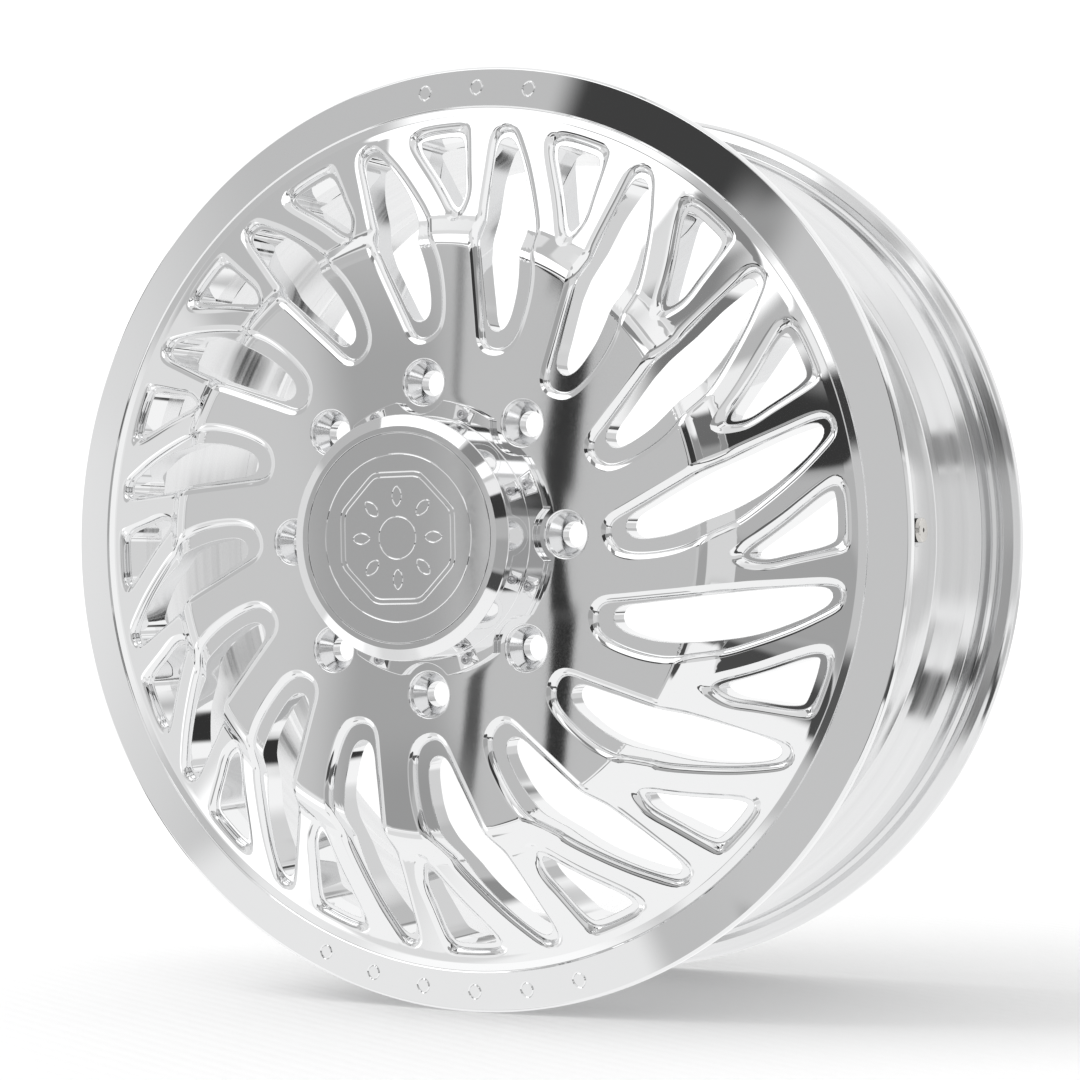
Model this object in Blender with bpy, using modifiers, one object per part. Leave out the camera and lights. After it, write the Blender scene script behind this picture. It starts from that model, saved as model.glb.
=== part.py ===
"""Forged monoblock truck-style wheel rim, 24 x 8.25 in, with its bolt-on centre cap
and its clamp-in tyre valve.

Frame: origin at the centre of the whole object on the wheel's axis. The wheel's axis
is the world Y axis, the styled face looks towards -Y, +Z is up.
Everything is drawn in the wheel's own space first (its local +Z is the axis, pointing
out of the face) under an empty that turns local +Z to world -Y.
"""
import math
import bpy
import bmesh
from mathutils import Matrix, Vector

MM = 0.001

# ---------------------------------------------------------------- driving dimensions (mm)
R_FLANGE = 324.5        # outer radius of both rim flanges (24 in bead seat + 17.3 mm flanges)
R_BEAD = 307.2          # bead seat radius at the flange
R_WELL = 284.0          # outer radius of the drop well
R_WELL_IN = 277.0       # inner radius of the drop well
Z_LIP = 76.9            # front lip plane, measured from the object's centre
Z_REAR = -163.5         # rear flange edge
Z_HUB = 125.6           # flat face of the raised hub disc
Z_PAD = 102.6           # mounting pad at the back of the disc
Z_CAP = 163.5           # face of the centre cap

R_BORE = 77.0           # hub bore
R_PAD = 126.0           # mounting pad outer radius
LUG_COUNT = 8
LUG_PCD = 210.0         # 8 x 210 mm
LUG_R_HOLE = 8.25
LUG_R_CONE = 13.4
LUG_R_SEAT = 15.2

N_OPEN = 16             # long slots, and as many short windows between them
PITCH = 360.0 / N_OPEN

CAP_R = 81.5
CAP_R_FACE = 73.8
CAP_R_IN = 76.0
CAP_R_FLANGE = 93.6
CAP_FLANGE_T = 5.0
CAP_SCALLOP_R = 21.6
PLATE_R = 69.5          # separate face plate let into the cap
SCREW_COUNT = 8
SCREW_PCD = 176.0
GAP = 0.3               # clearance between touching pieces

SEG = 48                # facets round the wheel, three to each opening

# valve in the drop well
VALVE_Z = -50.0
VALVE_OUT = 282.6       # spot face on the tyre side
VALVE_IN = 278.2        # spot face on the inner side
VALVE_R_HOLE = 5.8


# ---------------------------------------------------------------- scene and helpers
for o in list(bpy.data.objects):
    bpy.data.objects.remove(o, do_unlink=True)

scene = bpy.context.scene
parts = bpy.data.collections.new("forged_wheel_rim")
tools = bpy.data.collections.new("cutters")
scene.collection.children.link(parts)
scene.collection.children.link(tools)


def material(name, color, rough, metal):
    m = bpy.data.materials.new(name)
    m.use_nodes = True
    b = m.node_tree.nodes["Principled BSDF"]
    b.inputs["Base Color"].default_value = (*color, 1.0)
    b.inputs["Roughness"].default_value = rough
    b.inputs["Metallic"].default_value = metal
    return m


def empty(name, parent=None, loc=(0, 0, 0), rot=(0, 0, 0)):
    e = bpy.data.objects.new(name, None)
    parts.objects.link(e)
    e.parent = parent
    e.location = Vector(loc) * MM
    e.rotation_euler = rot
    return e


def place(ob, parent, loc=(0, 0, 0), rot=(0, 0, 0)):
    ob.parent = parent
    ob.location = Vector(loc) * MM
    ob.rotation_euler = rot
    return ob


def link_mesh(name, me, coll=parts):
    ob = bpy.data.objects.new(name, me)
    coll.objects.link(ob)
    return ob


def turned(name, profile, steps, coll=parts, closed=True):
    """A turned piece: profile [(r, z) mm] down its outer side, spun by a Screw modifier."""
    me = bpy.data.meshes.new(name)
    bm = bmesh.new()
    vs = [bm.verts.new((r * MM, 0.0, z * MM)) for r, z in profile]
    for a, b in zip(vs, vs[1:]):
        bm.edges.new((a, b))
    if closed:
        bm.edges.new((vs[-1], vs[0]))
    bm.to_mesh(me)
    bm.free()
    ob = link_mesh(name, me, coll)
    m = ob.modifiers.new("spin", "SCREW")
    m.axis = "Z"
    m.steps = steps
    m.render_steps = steps
    m.use_merge_vertices = True
    m.merge_threshold = 0.00001
    m.use_smooth_shade = True
    return ob


def smooth(me, angle=35.0):
    me.shade_smooth()
    me.set_sharp_from_angle(angle=math.radians(angle))


def prism(bm, pts, z0, z1):
    """Adds a closed prism on the outline pts [(x, y) mm] to a bmesh."""
    lo = [bm.verts.new((x * MM, y * MM, z0 * MM)) for x, y in pts]
    face = bm.faces.new(lo)
    ext = bmesh.ops.extrude_face_region(bm, geom=[face])
    top = [v for v in ext["geom"] if isinstance(v, bmesh.types.BMVert)]
    bmesh.ops.translate(bm, verts=top, vec=(0, 0, (z1 - z0) * MM))


def cutter(name, bm, parent):
    bmesh.ops.recalc_face_normals(bm, faces=bm.faces)
    me = bpy.data.meshes.new(name)
    bm.to_mesh(me)
    bm.free()
    ob = link_mesh(name, me, tools)
    ob.parent = parent
    ob.hide_render = True
    ob.display_type = "WIRE"
    return ob


def cut(ob, tool, name="cut"):
    m = ob.modifiers.new(name, "BOOLEAN")
    m.operation = "DIFFERENCE"
    m.object = tool
    m.solver = "EXACT"
    return m


def cylinder(bm, r, z0, z1, seg, centre=(0.0, 0.0), r_top=None):
    """Adds a closed cylinder or cone along local Z, sizes in mm."""
    mat = Matrix.Translation(Vector((centre[0], centre[1], (z0 + z1) / 2)) * MM)
    bmesh.ops.create_cone(bm, cap_ends=True, segments=seg, radius1=r * MM,
                          radius2=(r if r_top is None else r_top) * MM,
                          depth=(z1 - z0) * MM, matrix=mat)


def smooth_loop(ctrl, n):
    """Closed centripetal-like Catmull-Rom curve through polar points (deg, r mm),
    resampled evenly to n points in the plane."""
    p = [Vector((r * math.cos(math.radians(a)), r * math.sin(math.radians(a)))) for a, r in ctrl]
    fine = []
    m = len(p)
    for i in range(m):
        p0, p1, p2, p3 = p[i - 1], p[i], p[(i + 1) % m], p[(i + 2) % m]
        d = (p2 - p1).length
        t1 = (p2 - p0) * (d / max(1e-6, (p1 - p0).length + d))
        t2 = (p3 - p1) * (d / max(1e-6, (p3 - p2).length + d))
        for k in range(12):
            t = k / 12.0
            h = (2 * t**3 - 3 * t**2 + 1, t**3 - 2 * t**2 + t, -2 * t**3 + 3 * t**2, t**3 - t**2)
            fine.append(p1 * h[0] + t1 * h[1] + p2 * h[2] + t2 * h[3])
    run = [0.0]
    for a, b in zip(fine, fine[1:] + fine[:1]):
        run.append(run[-1] + (b - a).length)
    out, j = [], 0
    for k in range(n):
        s = run[-1] * k / n
        while run[j + 1] < s:
            j += 1
        f = (s - run[j]) / (run[j + 1] - run[j])
        q = fine[j].lerp(fine[(j + 1) % len(fine)], f)
        out.append((q.x, q.y))
    return out


def turn(pts, deg):
    c, s = math.cos(math.radians(deg)), math.sin(math.radians(deg))
    return [(x * c - y * s, x * s + y * c) for x, y in pts]


# Openings, as points (degrees round the axis, radius mm). Seen from the face, angles run
# anticlockwise. The inner end of slot 0 sits at 0 degrees; its outer end leans to 14.
SLOT_RIM = [(0.0, 130.5), (-4.2, 135.0), (-6.45, 145.0), (-6.5, 157.0), (-5.3, 177.5),
            (-3.1, 196.6), (0.0, 217.0), (4.0, 238.8), (8.0, 262.0), (11.3, 281.0),
            (13.55, 285.6), (15.6, 280.5), (15.8, 266.0), (14.8, 239.3), (13.3, 212.9),
            (11.3, 186.6), (8.7, 160.3), (5.8, 138.9), (3.0, 132.0)]
SLOT_HOLE = [(1.2, 147.0), (-0.8, 151.0), (-1.35, 157.5), (-0.6, 174.0), (0.9, 192.0),
             (3.0, 211.5), (5.9, 235.0), (9.4, 258.0), (12.0, 273.0), (13.5, 275.8),
             (14.4, 272.5), (14.0, 256.0), (12.8, 231.0), (11.2, 208.0), (8.6, 184.0),
             (5.9, 164.0), (3.6, 150.5)]
WINDOW_HOLE = [(-2.2, 275.8), (1.4, 275.8), (4.6, 275.8), (5.2, 270.5), (3.4, 257.0),
               (0.4, 240.5), (-2.0, 228.0), (-3.6, 221.8), (-4.6, 224.5), (-4.75, 233.0),
               (-4.1, 245.0), (-2.9, 262.0)]

wheel_axis = empty("wheel_axis", rot=(math.pi / 2, 0, 0))   # local +Z is world -Y

polished = material("polished_forged_aluminium", (0.86, 0.87, 0.88), 0.06, 1.0)
cap_metal = material("polished_cap_aluminium", (0.88, 0.89, 0.90), 0.04, 1.0)
plate_metal = material("polished_face_plate", (0.83, 0.84, 0.85), 0.08, 1.0)
screw_metal = material("stainless_screw", (0.70, 0.70, 0.70), 0.22, 1.0)
valve_metal = material("nickel_plated_brass", (0.72, 0.71, 0.68), 0.2, 1.0)
valve_brass = material("brass", (0.80, 0.62, 0.30), 0.3, 1.0)
rubber = material("black_rubber", (0.02, 0.02, 0.02), 0.75, 0.0)

# ---------------------------------------------------------------- wheel forging
OUTER = [(323.5, Z_LIP), (R_FLANGE, Z_LIP - 1.2), (R_FLANGE, Z_LIP - 8.0), (321.8, Z_LIP - 12.6),
         (315.0, Z_LIP - 15.3), (308.8, Z_LIP - 15.3), (R_BEAD, Z_LIP - 17.2),
         (305.4, Z_LIP - 37.0), (306.4, Z_LIP - 40.5), (302.0, Z_LIP - 46.0),
         (287.5, Z_LIP - 62.0), (R_WELL, Z_LIP - 68.0),
         (R_WELL, -83.0), (287.5, -89.0), (301.5, -118.5), (306.4, -124.0), (305.4, -127.5),
         (R_BEAD, -146.3), (308.8, -148.2), (315.0, -148.2), (321.8, -151.0),
         (R_FLANGE, -155.5), (R_FLANGE, Z_REAR)]
INNER = [(310.0, Z_REAR), (301.0, -159.0), (297.5, -150.0), (296.0, -121.0),
         (280.0, -88.0), (R_WELL_IN, -80.0), (R_WELL_IN, 40.0), (270.0, 55.0),
         (243.0, 73.5), (222.0, 84.0), (203.0, 99.0), (190.0, 104.2), (R_PAD + 2.0, 104.6),
         (R_PAD, Z_PAD), (R_BORE, Z_PAD)]
FACE = [(R_BORE, Z_HUB), (130.0, Z_HUB), (198.0, 124.6), (206.0, 121.6),
        (217.0, 110.3), (224.0, 106.0), (250.0, 95.0), (284.0, 81.6), (296.0, 79.2),
        (298.0, 80.1)]

wheel = turned("wheel_forging", OUTER + INNER + FACE, SEG)
place(wheel, wheel_axis)
wheel.data.materials.append(polished)

# through cuts: slots, windows, lug holes, cap-screw holes
bm = bmesh.new()
slot_hole = smooth_loop(SLOT_HOLE, 17)
win_hole = smooth_loop(WINDOW_HOLE, 10)
for k in range(N_OPEN):
    prism(bm, turn(slot_hole, k * PITCH), 30.0, 140.0)
    prism(bm, turn(win_hole, k * PITCH), 30.0, 112.0)
for k in range(LUG_COUNT):
    a = math.radians(k * 360.0 / LUG_COUNT)
    c = (LUG_PCD / 2 * math.cos(a), LUG_PCD / 2 * math.sin(a))
    cylinder(bm, LUG_R_HOLE, Z_PAD - 5, Z_HUB + 5, 12, c)
    a += math.pi / SCREW_COUNT
    c = (SCREW_PCD / 2 * math.cos(a), SCREW_PCD / 2 * math.sin(a))
    cylinder(bm, 2.4, Z_HUB - 11.0, Z_HUB + 5, 6, c)
cut(wheel, cutter("cut_openings", bm, wheel_axis), "openings")

# recessed ledge round each slot in the hub disc, and the conical lug-nut seats
bm = bmesh.new()
ledge = smooth_loop(SLOT_RIM, 18)
for k in range(N_OPEN):
    prism(bm, turn(ledge, k * PITCH), Z_HUB - 5.0, 140.0)
for k in range(LUG_COUNT):
    a = math.radians(k * 360.0 / LUG_COUNT)
    c = (LUG_PCD / 2 * math.cos(a), LUG_PCD / 2 * math.sin(a))
    half = math.tan(math.radians(30.0))
    depth = (LUG_R_CONE - LUG_R_HOLE) / half
    top = Z_HUB - 3.3
    # the cone reaches a little below the hole's edge, so that it breaks into the hole
    cylinder(bm, LUG_R_HOLE - 0.4 * half, top - depth - 0.4, top + 4.5, 16, c,
             LUG_R_CONE + 4.5 * half)
cut(wheel, cutter("cut_ledges", bm, wheel_axis), "ledges")

# valve hole with a flat spot face on each side of the well: a spool turned on the
# valve's own axis, whose local +Z runs radially outwards
valve_axis = empty("valve_axis", wheel_axis, (0, 0, VALVE_Z), (0, math.pi / 2, 0))
spool = turned("cut_valve_hole",
               [(0, VALVE_OUT + 9), (11.5, VALVE_OUT + 9), (11.5, VALVE_OUT),
                (VALVE_R_HOLE, VALVE_OUT), (VALVE_R_HOLE, VALVE_IN), (11.5, VALVE_IN),
                (11.5, VALVE_IN - 12), (0, VALVE_IN - 12)], 20, tools, closed=False)
place(spool, valve_axis)
spool.hide_render = True
spool.display_type = "WIRE"
cut(wheel, spool, "valve_hole")

# ---------------------------------------------------------------- centre cap
z0 = Z_HUB + GAP
cap = turned("cap_can", [
    (CAP_R_FACE, Z_CAP), (CAP_R, Z_CAP - 3.4), (CAP_R, z0 + CAP_FLANGE_T + 1.5),
    (CAP_R + 1.5, z0 + CAP_FLANGE_T), (CAP_R_FLANGE - 0.8, z0 + CAP_FLANGE_T),
    (CAP_R_FLANGE, z0 + CAP_FLANGE_T - 0.8), (CAP_R_FLANGE, z0), (CAP_R_IN, z0),
    (CAP_R_IN, Z_CAP - 7.5), (CAP_R_IN - 3.0, Z_CAP - 10.0), (22.0, Z_CAP - 10.0), (22.0, Z_CAP - 3.0 - GAP),
    (PLATE_R + GAP, Z_CAP - 3.0 - GAP), (PLATE_R + GAP, Z_CAP)], 48)
place(cap, wheel_axis)
cap.data.materials.append(cap_metal)
bm = bmesh.new()
for k in range(LUG_COUNT):
    a = math.radians(k * 360.0 / LUG_COUNT)
    cylinder(bm, CAP_SCALLOP_R, z0 - 4, z0 + CAP_FLANGE_T + 4, 36,
             (LUG_PCD / 2 * math.cos(a), LUG_PCD / 2 * math.sin(a)))
    a += math.pi / SCREW_COUNT
    cylinder(bm, 2.35, z0 - 4, z0 + CAP_FLANGE_T + 4, 12,
             (SCREW_PCD / 2 * math.cos(a), SCREW_PCD / 2 * math.sin(a)))
cut(cap, cutter("cut_scallops", bm, wheel_axis), "scallops")

# face plate: a disc with a short spigot that enters the can's centre hole
plate = turned("cap_face_plate", [
    (0.0, Z_CAP), (PLATE_R - 0.4, Z_CAP), (PLATE_R, Z_CAP - 0.4), (PLATE_R, Z_CAP - 3.0),
    (21.5, Z_CAP - 3.0), (21.5, Z_CAP - 8.0), (0.0, Z_CAP - 8.0)], 48, closed=False)
place(plate, wheel_axis)
plate.data.materials.append(plate_metal)

# eight socket-head cap screws, M4 x 12, each with its origin on its own axis
HEAD_R, HEAD_H, SHANK_R, SHANK_L = 3.5, 4.0, 1.95, 12.0
zs = Z_HUB + GAP + CAP_FLANGE_T + GAP            # underside of the head
screw_me = None
for k in range(SCREW_COUNT):
    a = (k + 0.5) * 360.0 / SCREW_COUNT
    name = f"cap_screw_{k + 1}"
    if screw_me is None:
        ob = turned(name, [(0, HEAD_H), (HEAD_R - 0.4, HEAD_H), (HEAD_R, HEAD_H - 0.4),
                           (HEAD_R, 0), (SHANK_R, 0), (SHANK_R, -SHANK_L + 0.6),
                           (SHANK_R - 0.6, -SHANK_L), (0, -SHANK_L)], 16, closed=False)
        ob.data.materials.append(screw_metal)
        screw_me = ob.data
        bm = bmesh.new()
        cylinder(bm, 1.73, HEAD_H - 2.2, HEAD_H + 2, 6)      # 3 mm hexagon socket
        socket_tool = cutter("cut_socket", bm, None)
        socket_me = socket_tool.data
    else:
        ob = link_mesh(name, screw_me)
        m = ob.modifiers.new("spin", "SCREW")
        m.axis, m.steps, m.render_steps = "Z", 16, 16
        m.use_merge_vertices, m.merge_threshold, m.use_smooth_shade = True, 0.00001, True
        socket_tool = link_mesh(f"cut_socket_{k + 1}", socket_me, tools)
        socket_tool.hide_render = True
        socket_tool.display_type = "WIRE"
    loc = (SCREW_PCD / 2 * math.cos(math.radians(a)), SCREW_PCD / 2 * math.sin(math.radians(a)), zs)
    place(ob, wheel_axis, loc, (0, 0, math.radians(a)))
    place(socket_tool, wheel_axis, loc, (0, 0, math.radians(a)))
    cut(ob, socket_tool, "socket")

# ---------------------------------------------------------------- tyre valve (clamp-in)
# local z below is the distance from the wheel's axis; the tip points at the axis
STEM_TIP = 243.0
stem = turned("valve_stem", [
    (1.6, 289.4), (7.9, 289.4), (8.4, 288.9), (8.4, 286.0), (4.1, 286.0), (4.1, 256.5),
    (3.85, 256.0), (3.85, STEM_TIP + 0.5), (3.4, STEM_TIP), (2.7, STEM_TIP),
    (2.7, 262.5), (1.6, 264.0)], 20)
# the profile above climbs inwards, so its upper end is the head
place(stem, valve_axis)
stem.data.materials.append(valve_metal)

grommet = turned("valve_grommet", [
    (4.4, 285.7), (8.2, 285.7), (8.2, 282.9), (5.5, 282.9), (5.5, 278.6), (4.4, 278.6)], 20)
place(grommet, valve_axis)
grommet.data.materials.append(rubber)

washer = turned("valve_washer", [
    (4.4, 277.9), (8.9, 277.9), (8.9, 276.4), (4.4, 276.4)], 20)
place(washer, valve_axis)
washer.data.materials.append(valve_metal)

bm = bmesh.new()
cylinder(bm, 8.08, 270.1, 276.1, 6)
me = bpy.data.meshes.new("valve_nut")
bm.to_mesh(me)
bm.free()
nut = link_mesh("valve_nut", me)
place(nut, valve_axis)
nut.data.materials.append(valve_metal)
bm = bmesh.new()
cylinder(bm, 4.4, 266.0, 280.0, 20)
cut(nut, cutter("cut_nut_bore", bm, valve_axis), "bore")

# valve core: threaded sleeve, sprung pin with its seal, and the spring round the pin
sleeve = turned("valve_core_sleeve", [
    (0.8, 257.0), (2.35, 257.0), (2.35, 246.0), (1.4, 246.0), (1.4, 256.0), (0.8, 256.0)], 16)
place(sleeve, valve_axis)
sleeve.data.materials.append(valve_brass)

pin = turned("valve_core_pin", [
    (0.0, 260.2), (1.2, 260.2), (1.2, 259.4), (0.45, 259.4), (0.45, 248.4), (1.15, 248.4),
    (1.15, 247.6), (0.45, 247.6), (0.45, 243.6), (0.0, 243.6)], 12, closed=False)
place(pin, valve_axis)
pin.data.materials.append(valve_brass)

seal = turned("valve_core_seal", [
    (0.75, 259.1), (2.1, 259.1), (2.1, 257.4), (0.75, 257.4)], 12)
place(seal, valve_axis)
seal.data.materials.append(rubber)

# compression spring between the pin's collar and the sleeve's lip
crv = bpy.data.curves.new("valve_core_spring", "CURVE")
crv.dimensions = "3D"
crv.bevel_depth = 0.11 * MM
crv.bevel_resolution = 0
crv.use_fill_caps = True
sp = crv.splines.new("POLY")
TURNS, PER = 5, 10
Z_A, Z_B, R_COIL = 248.75, 255.65, 1.0
count = TURNS * PER + 1
sp.points.add(count - 1)
for i in range(count):
    a = 2 * math.pi * i / PER
    z = Z_A + (Z_B - Z_A) * i / (count - 1)
    sp.points[i].co = (R_COIL * MM * math.cos(a), R_COIL * MM * math.sin(a), z * MM, 1.0)
spring = bpy.data.objects.new("valve_core_spring", crv)
parts.objects.link(spring)
place(spring, valve_axis)
spring.data.materials.append(screw_metal)

# cap that screws on the valve's tip, with its sealing disc
valve_cap = turned("valve_cap", [
    (0.0, 256.0 - 1.0), (4.2, 255.0), (5.0, 254.2), (5.0, 240.6), (4.2, 239.8), (0.0, 239.8)],
    20, closed=False)
valve_cap.data.materials.append(valve_metal)
place(valve_cap, valve_axis)
bm = bmesh.new()
cylinder(bm, 4.15, 241.0, 258.0, 20)
cut(valve_cap, cutter("cut_cap_bore", bm, valve_axis), "bore")
cap_seal = turned("valve_cap_seal", [
    (1.2, 242.7), (3.8, 242.7), (3.8, 241.3), (1.2, 241.3)], 16)
place(cap_seal, valve_axis)
cap_seal.data.materials.append(rubber)

bpy.context.view_layer.update()
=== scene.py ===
import math

import bmesh
import bpy
import numpy as np
from mathutils import Matrix, Vector, geometry


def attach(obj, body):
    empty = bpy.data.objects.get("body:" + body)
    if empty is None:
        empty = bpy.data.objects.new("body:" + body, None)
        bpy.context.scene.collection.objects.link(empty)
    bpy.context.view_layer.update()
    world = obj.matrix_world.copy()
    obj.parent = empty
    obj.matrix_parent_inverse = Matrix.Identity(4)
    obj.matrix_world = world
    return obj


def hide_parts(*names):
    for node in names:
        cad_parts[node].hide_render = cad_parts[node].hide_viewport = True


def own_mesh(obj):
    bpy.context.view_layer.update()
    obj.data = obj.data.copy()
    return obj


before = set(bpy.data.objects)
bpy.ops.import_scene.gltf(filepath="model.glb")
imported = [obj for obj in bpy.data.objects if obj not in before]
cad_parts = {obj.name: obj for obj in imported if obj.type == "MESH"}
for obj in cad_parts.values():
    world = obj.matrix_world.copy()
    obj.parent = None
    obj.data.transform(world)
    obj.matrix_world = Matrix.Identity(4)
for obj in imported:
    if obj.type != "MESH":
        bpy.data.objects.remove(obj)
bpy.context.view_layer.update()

PI = math.pi
STEP = 1.5                      # degrees per facet round the wheel
ANG = 1.0 + STEP * np.arange(int(round(360 / STEP)))
PITCH = 22.5

# ---------------------------------------------------------------- mesh bookkeeping


def to_world(p):
    p = np.asarray(p, float)
    return np.stack([p[:, 0], -p[:, 2], p[:, 1]], 1)


class Mesher:
    """Collects surface patches with their own normals, welds them where they meet, and
    keeps each patch's normals on its own face corners."""

    def __init__(self):
        self.v, self.n, self.f, self.count = [], [], [], 0
        self.m = []

    def add(self, v, n, faces, mat=0):
        v = np.asarray(v, float)
        n = np.asarray(n, float)
        n = n / np.maximum(np.linalg.norm(n, axis=1, keepdims=True), 1e-12)
        self.v.append(v)
        self.n.append(n)
        for f in faces:
            self.f.append(tuple(int(i) + self.count for i in f))
            self.m.append(mat)
        self.count += len(v)

    def grid(self, rows, nrows, closed=True, flip=False, mat=0):
        """rows: list of (n, 3) loops, nrows: their normals; quads between loops."""
        k, n = len(rows), len(rows[0])
        v = np.concatenate(rows)
        nn = np.concatenate(nrows)
        faces = []
        last = n if closed else n - 1
        for i in range(k - 1):
            for j in range(last):
                a, b = i * n + j, i * n + (j + 1) % n
                c, d = b + n, a + n
                faces.append((a, d, c, b) if flip else (a, b, c, d))
        self.add(v, nn, faces, mat)

    def build(self, name, mats, scale=0.001, place=None, wheel_space=True):
        v = np.concatenate(self.v)
        n = np.concatenate(self.n)
        if wheel_space:
            v, n = to_world(v), to_world(n)
        if place is not None:
            v = v @ place[:3, :3].T + place[:3, 3]
            n = n @ place[:3, :3].T
        key = np.floor(v / 2e-4 + 0.3137).astype(np.int64)
        _, first, inv = np.unique(key, axis=0, return_index=True, return_inverse=True)
        inv = inv.reshape(-1)
        faces, corner, mats_out, seen = [], [], [], set()
        for f, m in zip(self.f, self.m):
            # each face is turned to the side its own normals are on
            q = v[list(f)]
            g0 = np.zeros(3)
            for i in range(1, len(q) - 1):
                g0 += np.cross(q[i] - q[0], q[i + 1] - q[0])
            if g0 @ n[list(f)].sum(0) < 0:
                f = f[::-1]
            g, c = [], []
            for i in f:
                if not g or (inv[i] != g[-1]):
                    g.append(int(inv[i]))
                    c.append(i)
            while len(g) > 1 and g[0] == g[-1]:
                g.pop()
                c.pop()
            if len(set(g)) < 3 or len(set(g)) != len(g):
                continue
            ident = tuple(sorted(g))
            if ident in seen:
                continue
            seen.add(ident)
            faces.append(g)
            corner.append(c)
            mats_out.append(m)
        me = bpy.data.meshes.new(name)
        me.from_pydata((v[first] * scale).tolist(), [], faces)
        me.update()
        me.polygons.foreach_set("use_smooth", [True] * len(me.polygons))
        me.polygons.foreach_set("material_index", mats_out)
        for m in mats:
            me.materials.append(m)
        flat = [i for c in corner for i in c]
        me.normals_split_custom_set([tuple(x) for x in n[flat]])
        me.update()
        ob = bpy.data.objects.new(name, me)
        bpy.context.scene.collection.objects.link(ob)
        return ob


def polar(a_deg, r, z):
    a = np.radians(a_deg)
    return np.stack([r * np.cos(a), r * np.sin(a), z + 0 * a], -1)


def profile(points, step=0.6, min_arc=4):
    """points: [(r, z, fillet radius)]. Returns a list of smooth runs, each (pos (n,2),
    nrm (n,2)); the direction of travel has its outside on the left."""
    P = [np.array(p[:2], float) for p in points]
    R = [p[2] if len(p) > 2 else 0.0 for p in points]
    runs, pos, nrm = [], [], []

    def left(d):
        return np.array([-d[1], d[0]])

    for i, p in enumerate(P):
        if i == 0:
            d = P[1] - p
            d = d / np.linalg.norm(d)
            pos.append(p)
            nrm.append(left(d))
            continue
        d0 = p - P[i - 1]
        d0 = d0 / np.linalg.norm(d0)
        if i == len(P) - 1:
            pos.append(p)
            nrm.append(left(d0))
            break
        d1 = P[i + 1] - p
        d1 = d1 / np.linalg.norm(d1)
        cosang = float(np.clip(d0 @ d1, -1, 1))
        ang = math.acos(cosang)
        if R[i] <= 0 or ang < 1e-4:
            pos.append(p)
            nrm.append(left(d0))
            if ang > 1e-4:
                runs.append((np.array(pos), np.array(nrm)))
                pos, nrm = [p], [left(d1)]
            continue
        t = R[i] * math.tan(ang / 2)
        a, b = p - d0 * t, p + d1 * t
        side = 1.0 if (d0[0] * d1[1] - d0[1] * d1[0]) > 0 else -1.0
        centre = a + left(d0) * side * R[i]
        n = max(min_arc, int(math.ceil(R[i] * ang / step)))
        for k in range(n + 1):
            w = ang * k / n * side
            c, s = math.cos(w), math.sin(w)
            off = a - centre
            q = centre + np.array([off[0] * c - off[1] * s, off[0] * s + off[1] * c])
            dd = np.array([d0[0] * c - d0[1] * s, d0[0] * s + d0[1] * c])
            pos.append(q)
            nrm.append(left(dd))
    runs.append((np.array(pos), np.array(nrm)))
    return runs


def densify(run, longest):
    pos, nrm = run
    op, on = [pos[0]], [nrm[0]]
    for i in range(1, len(pos)):
        L = np.linalg.norm(pos[i] - pos[i - 1])
        k = max(1, int(math.ceil(L / longest)))
        for j in range(1, k + 1):
            f = j / k
            op.append(pos[i - 1] * (1 - f) + pos[i] * f)
            q = nrm[i - 1] * (1 - f) + nrm[i] * f
            on.append(q / np.linalg.norm(q))
    return np.array(op), np.array(on)


def revolve(m, runs, angles, centre=(0.0, 0.0), flip=False, longest=1e9, mat=0, closed=True, leave=()):
    """Spins profile runs (r, z) round the axis through centre. leave: (angle lo, angle hi,
    r lo, r hi, z lo, z hi) boxes whose faces are left out for a patch."""
    a = np.radians(angles)
    c, s = np.cos(a), np.sin(a)
    for run in runs:
        pos, nrm = densify(run, longest)
        rows, nrows = [], []
        for (r, z), (nr, nz) in zip(pos, nrm):
            rows.append(np.stack([centre[0] + r * c, centre[1] + r * s, np.full(len(a), z)], -1))
            nrows.append(np.stack([nr * c, nr * s, np.full(len(a), nz)], -1))
        first = len(m.f)
        m.grid(rows, nrows, flip=flip, mat=mat, closed=closed)
        if not leave:
            continue
        keep_f, keep_m = m.f[:first], m.m[:first]
        na, pos = len(a), np.asarray(pos)
        step = angles[1] - angles[0]
        for i in range(len(pos) - 1):
            rm, zm = (pos[i] + pos[i + 1]) / 2
            for j in range(na):
                am = (angles[j] + step / 2 + 180) % 360 - 180
                out = any(lo < (am - mid + 180) % 360 - 180 + mid < hi and r0 < rm < r1 and z0 < zm < z1
                          for lo, hi, r0, r1, z0, z1 in leave for mid in ((lo + hi) / 2,))
                if not out:
                    keep_f.append(m.f[first + i * na + j])
                    keep_m.append(mat)
        m.f, m.m = keep_f, keep_m


class Curve:
    """z and slope as functions of r, from a filleted profile running outwards."""

    def __init__(self, points, offset=0.0):
        r, z, s = [], [], []
        for pos, nrm in profile(points, step=0.05):
            pos, nrm = densify((pos, nrm), 0.3)
            if nrm[:, 1].mean() < 0:
                nrm = -nrm
            p = pos - nrm * offset
            r += list(p[:, 0])
            z += list(p[:, 1])
            s += list(-nrm[:, 0] / nrm[:, 1])
        o = np.argsort(r, kind="stable")
        self.r, self.z, self.s = np.array(r)[o], np.array(z)[o], np.array(s)[o]

    def __call__(self, r):
        return np.interp(r, self.r, self.z)

    def normal(self, xy):
        r = np.hypot(xy[:, 0], xy[:, 1])
        s = np.interp(r, self.r, self.s)
        k = 1 / np.sqrt(1 + s * s)
        return np.stack([-s * xy[:, 0] / r * k, -s * xy[:, 1] / r * k, k], -1)

    def lift(self, xy):
        r = np.hypot(xy[:, 0], xy[:, 1])
        return np.column_stack([xy, self(r)])


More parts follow.
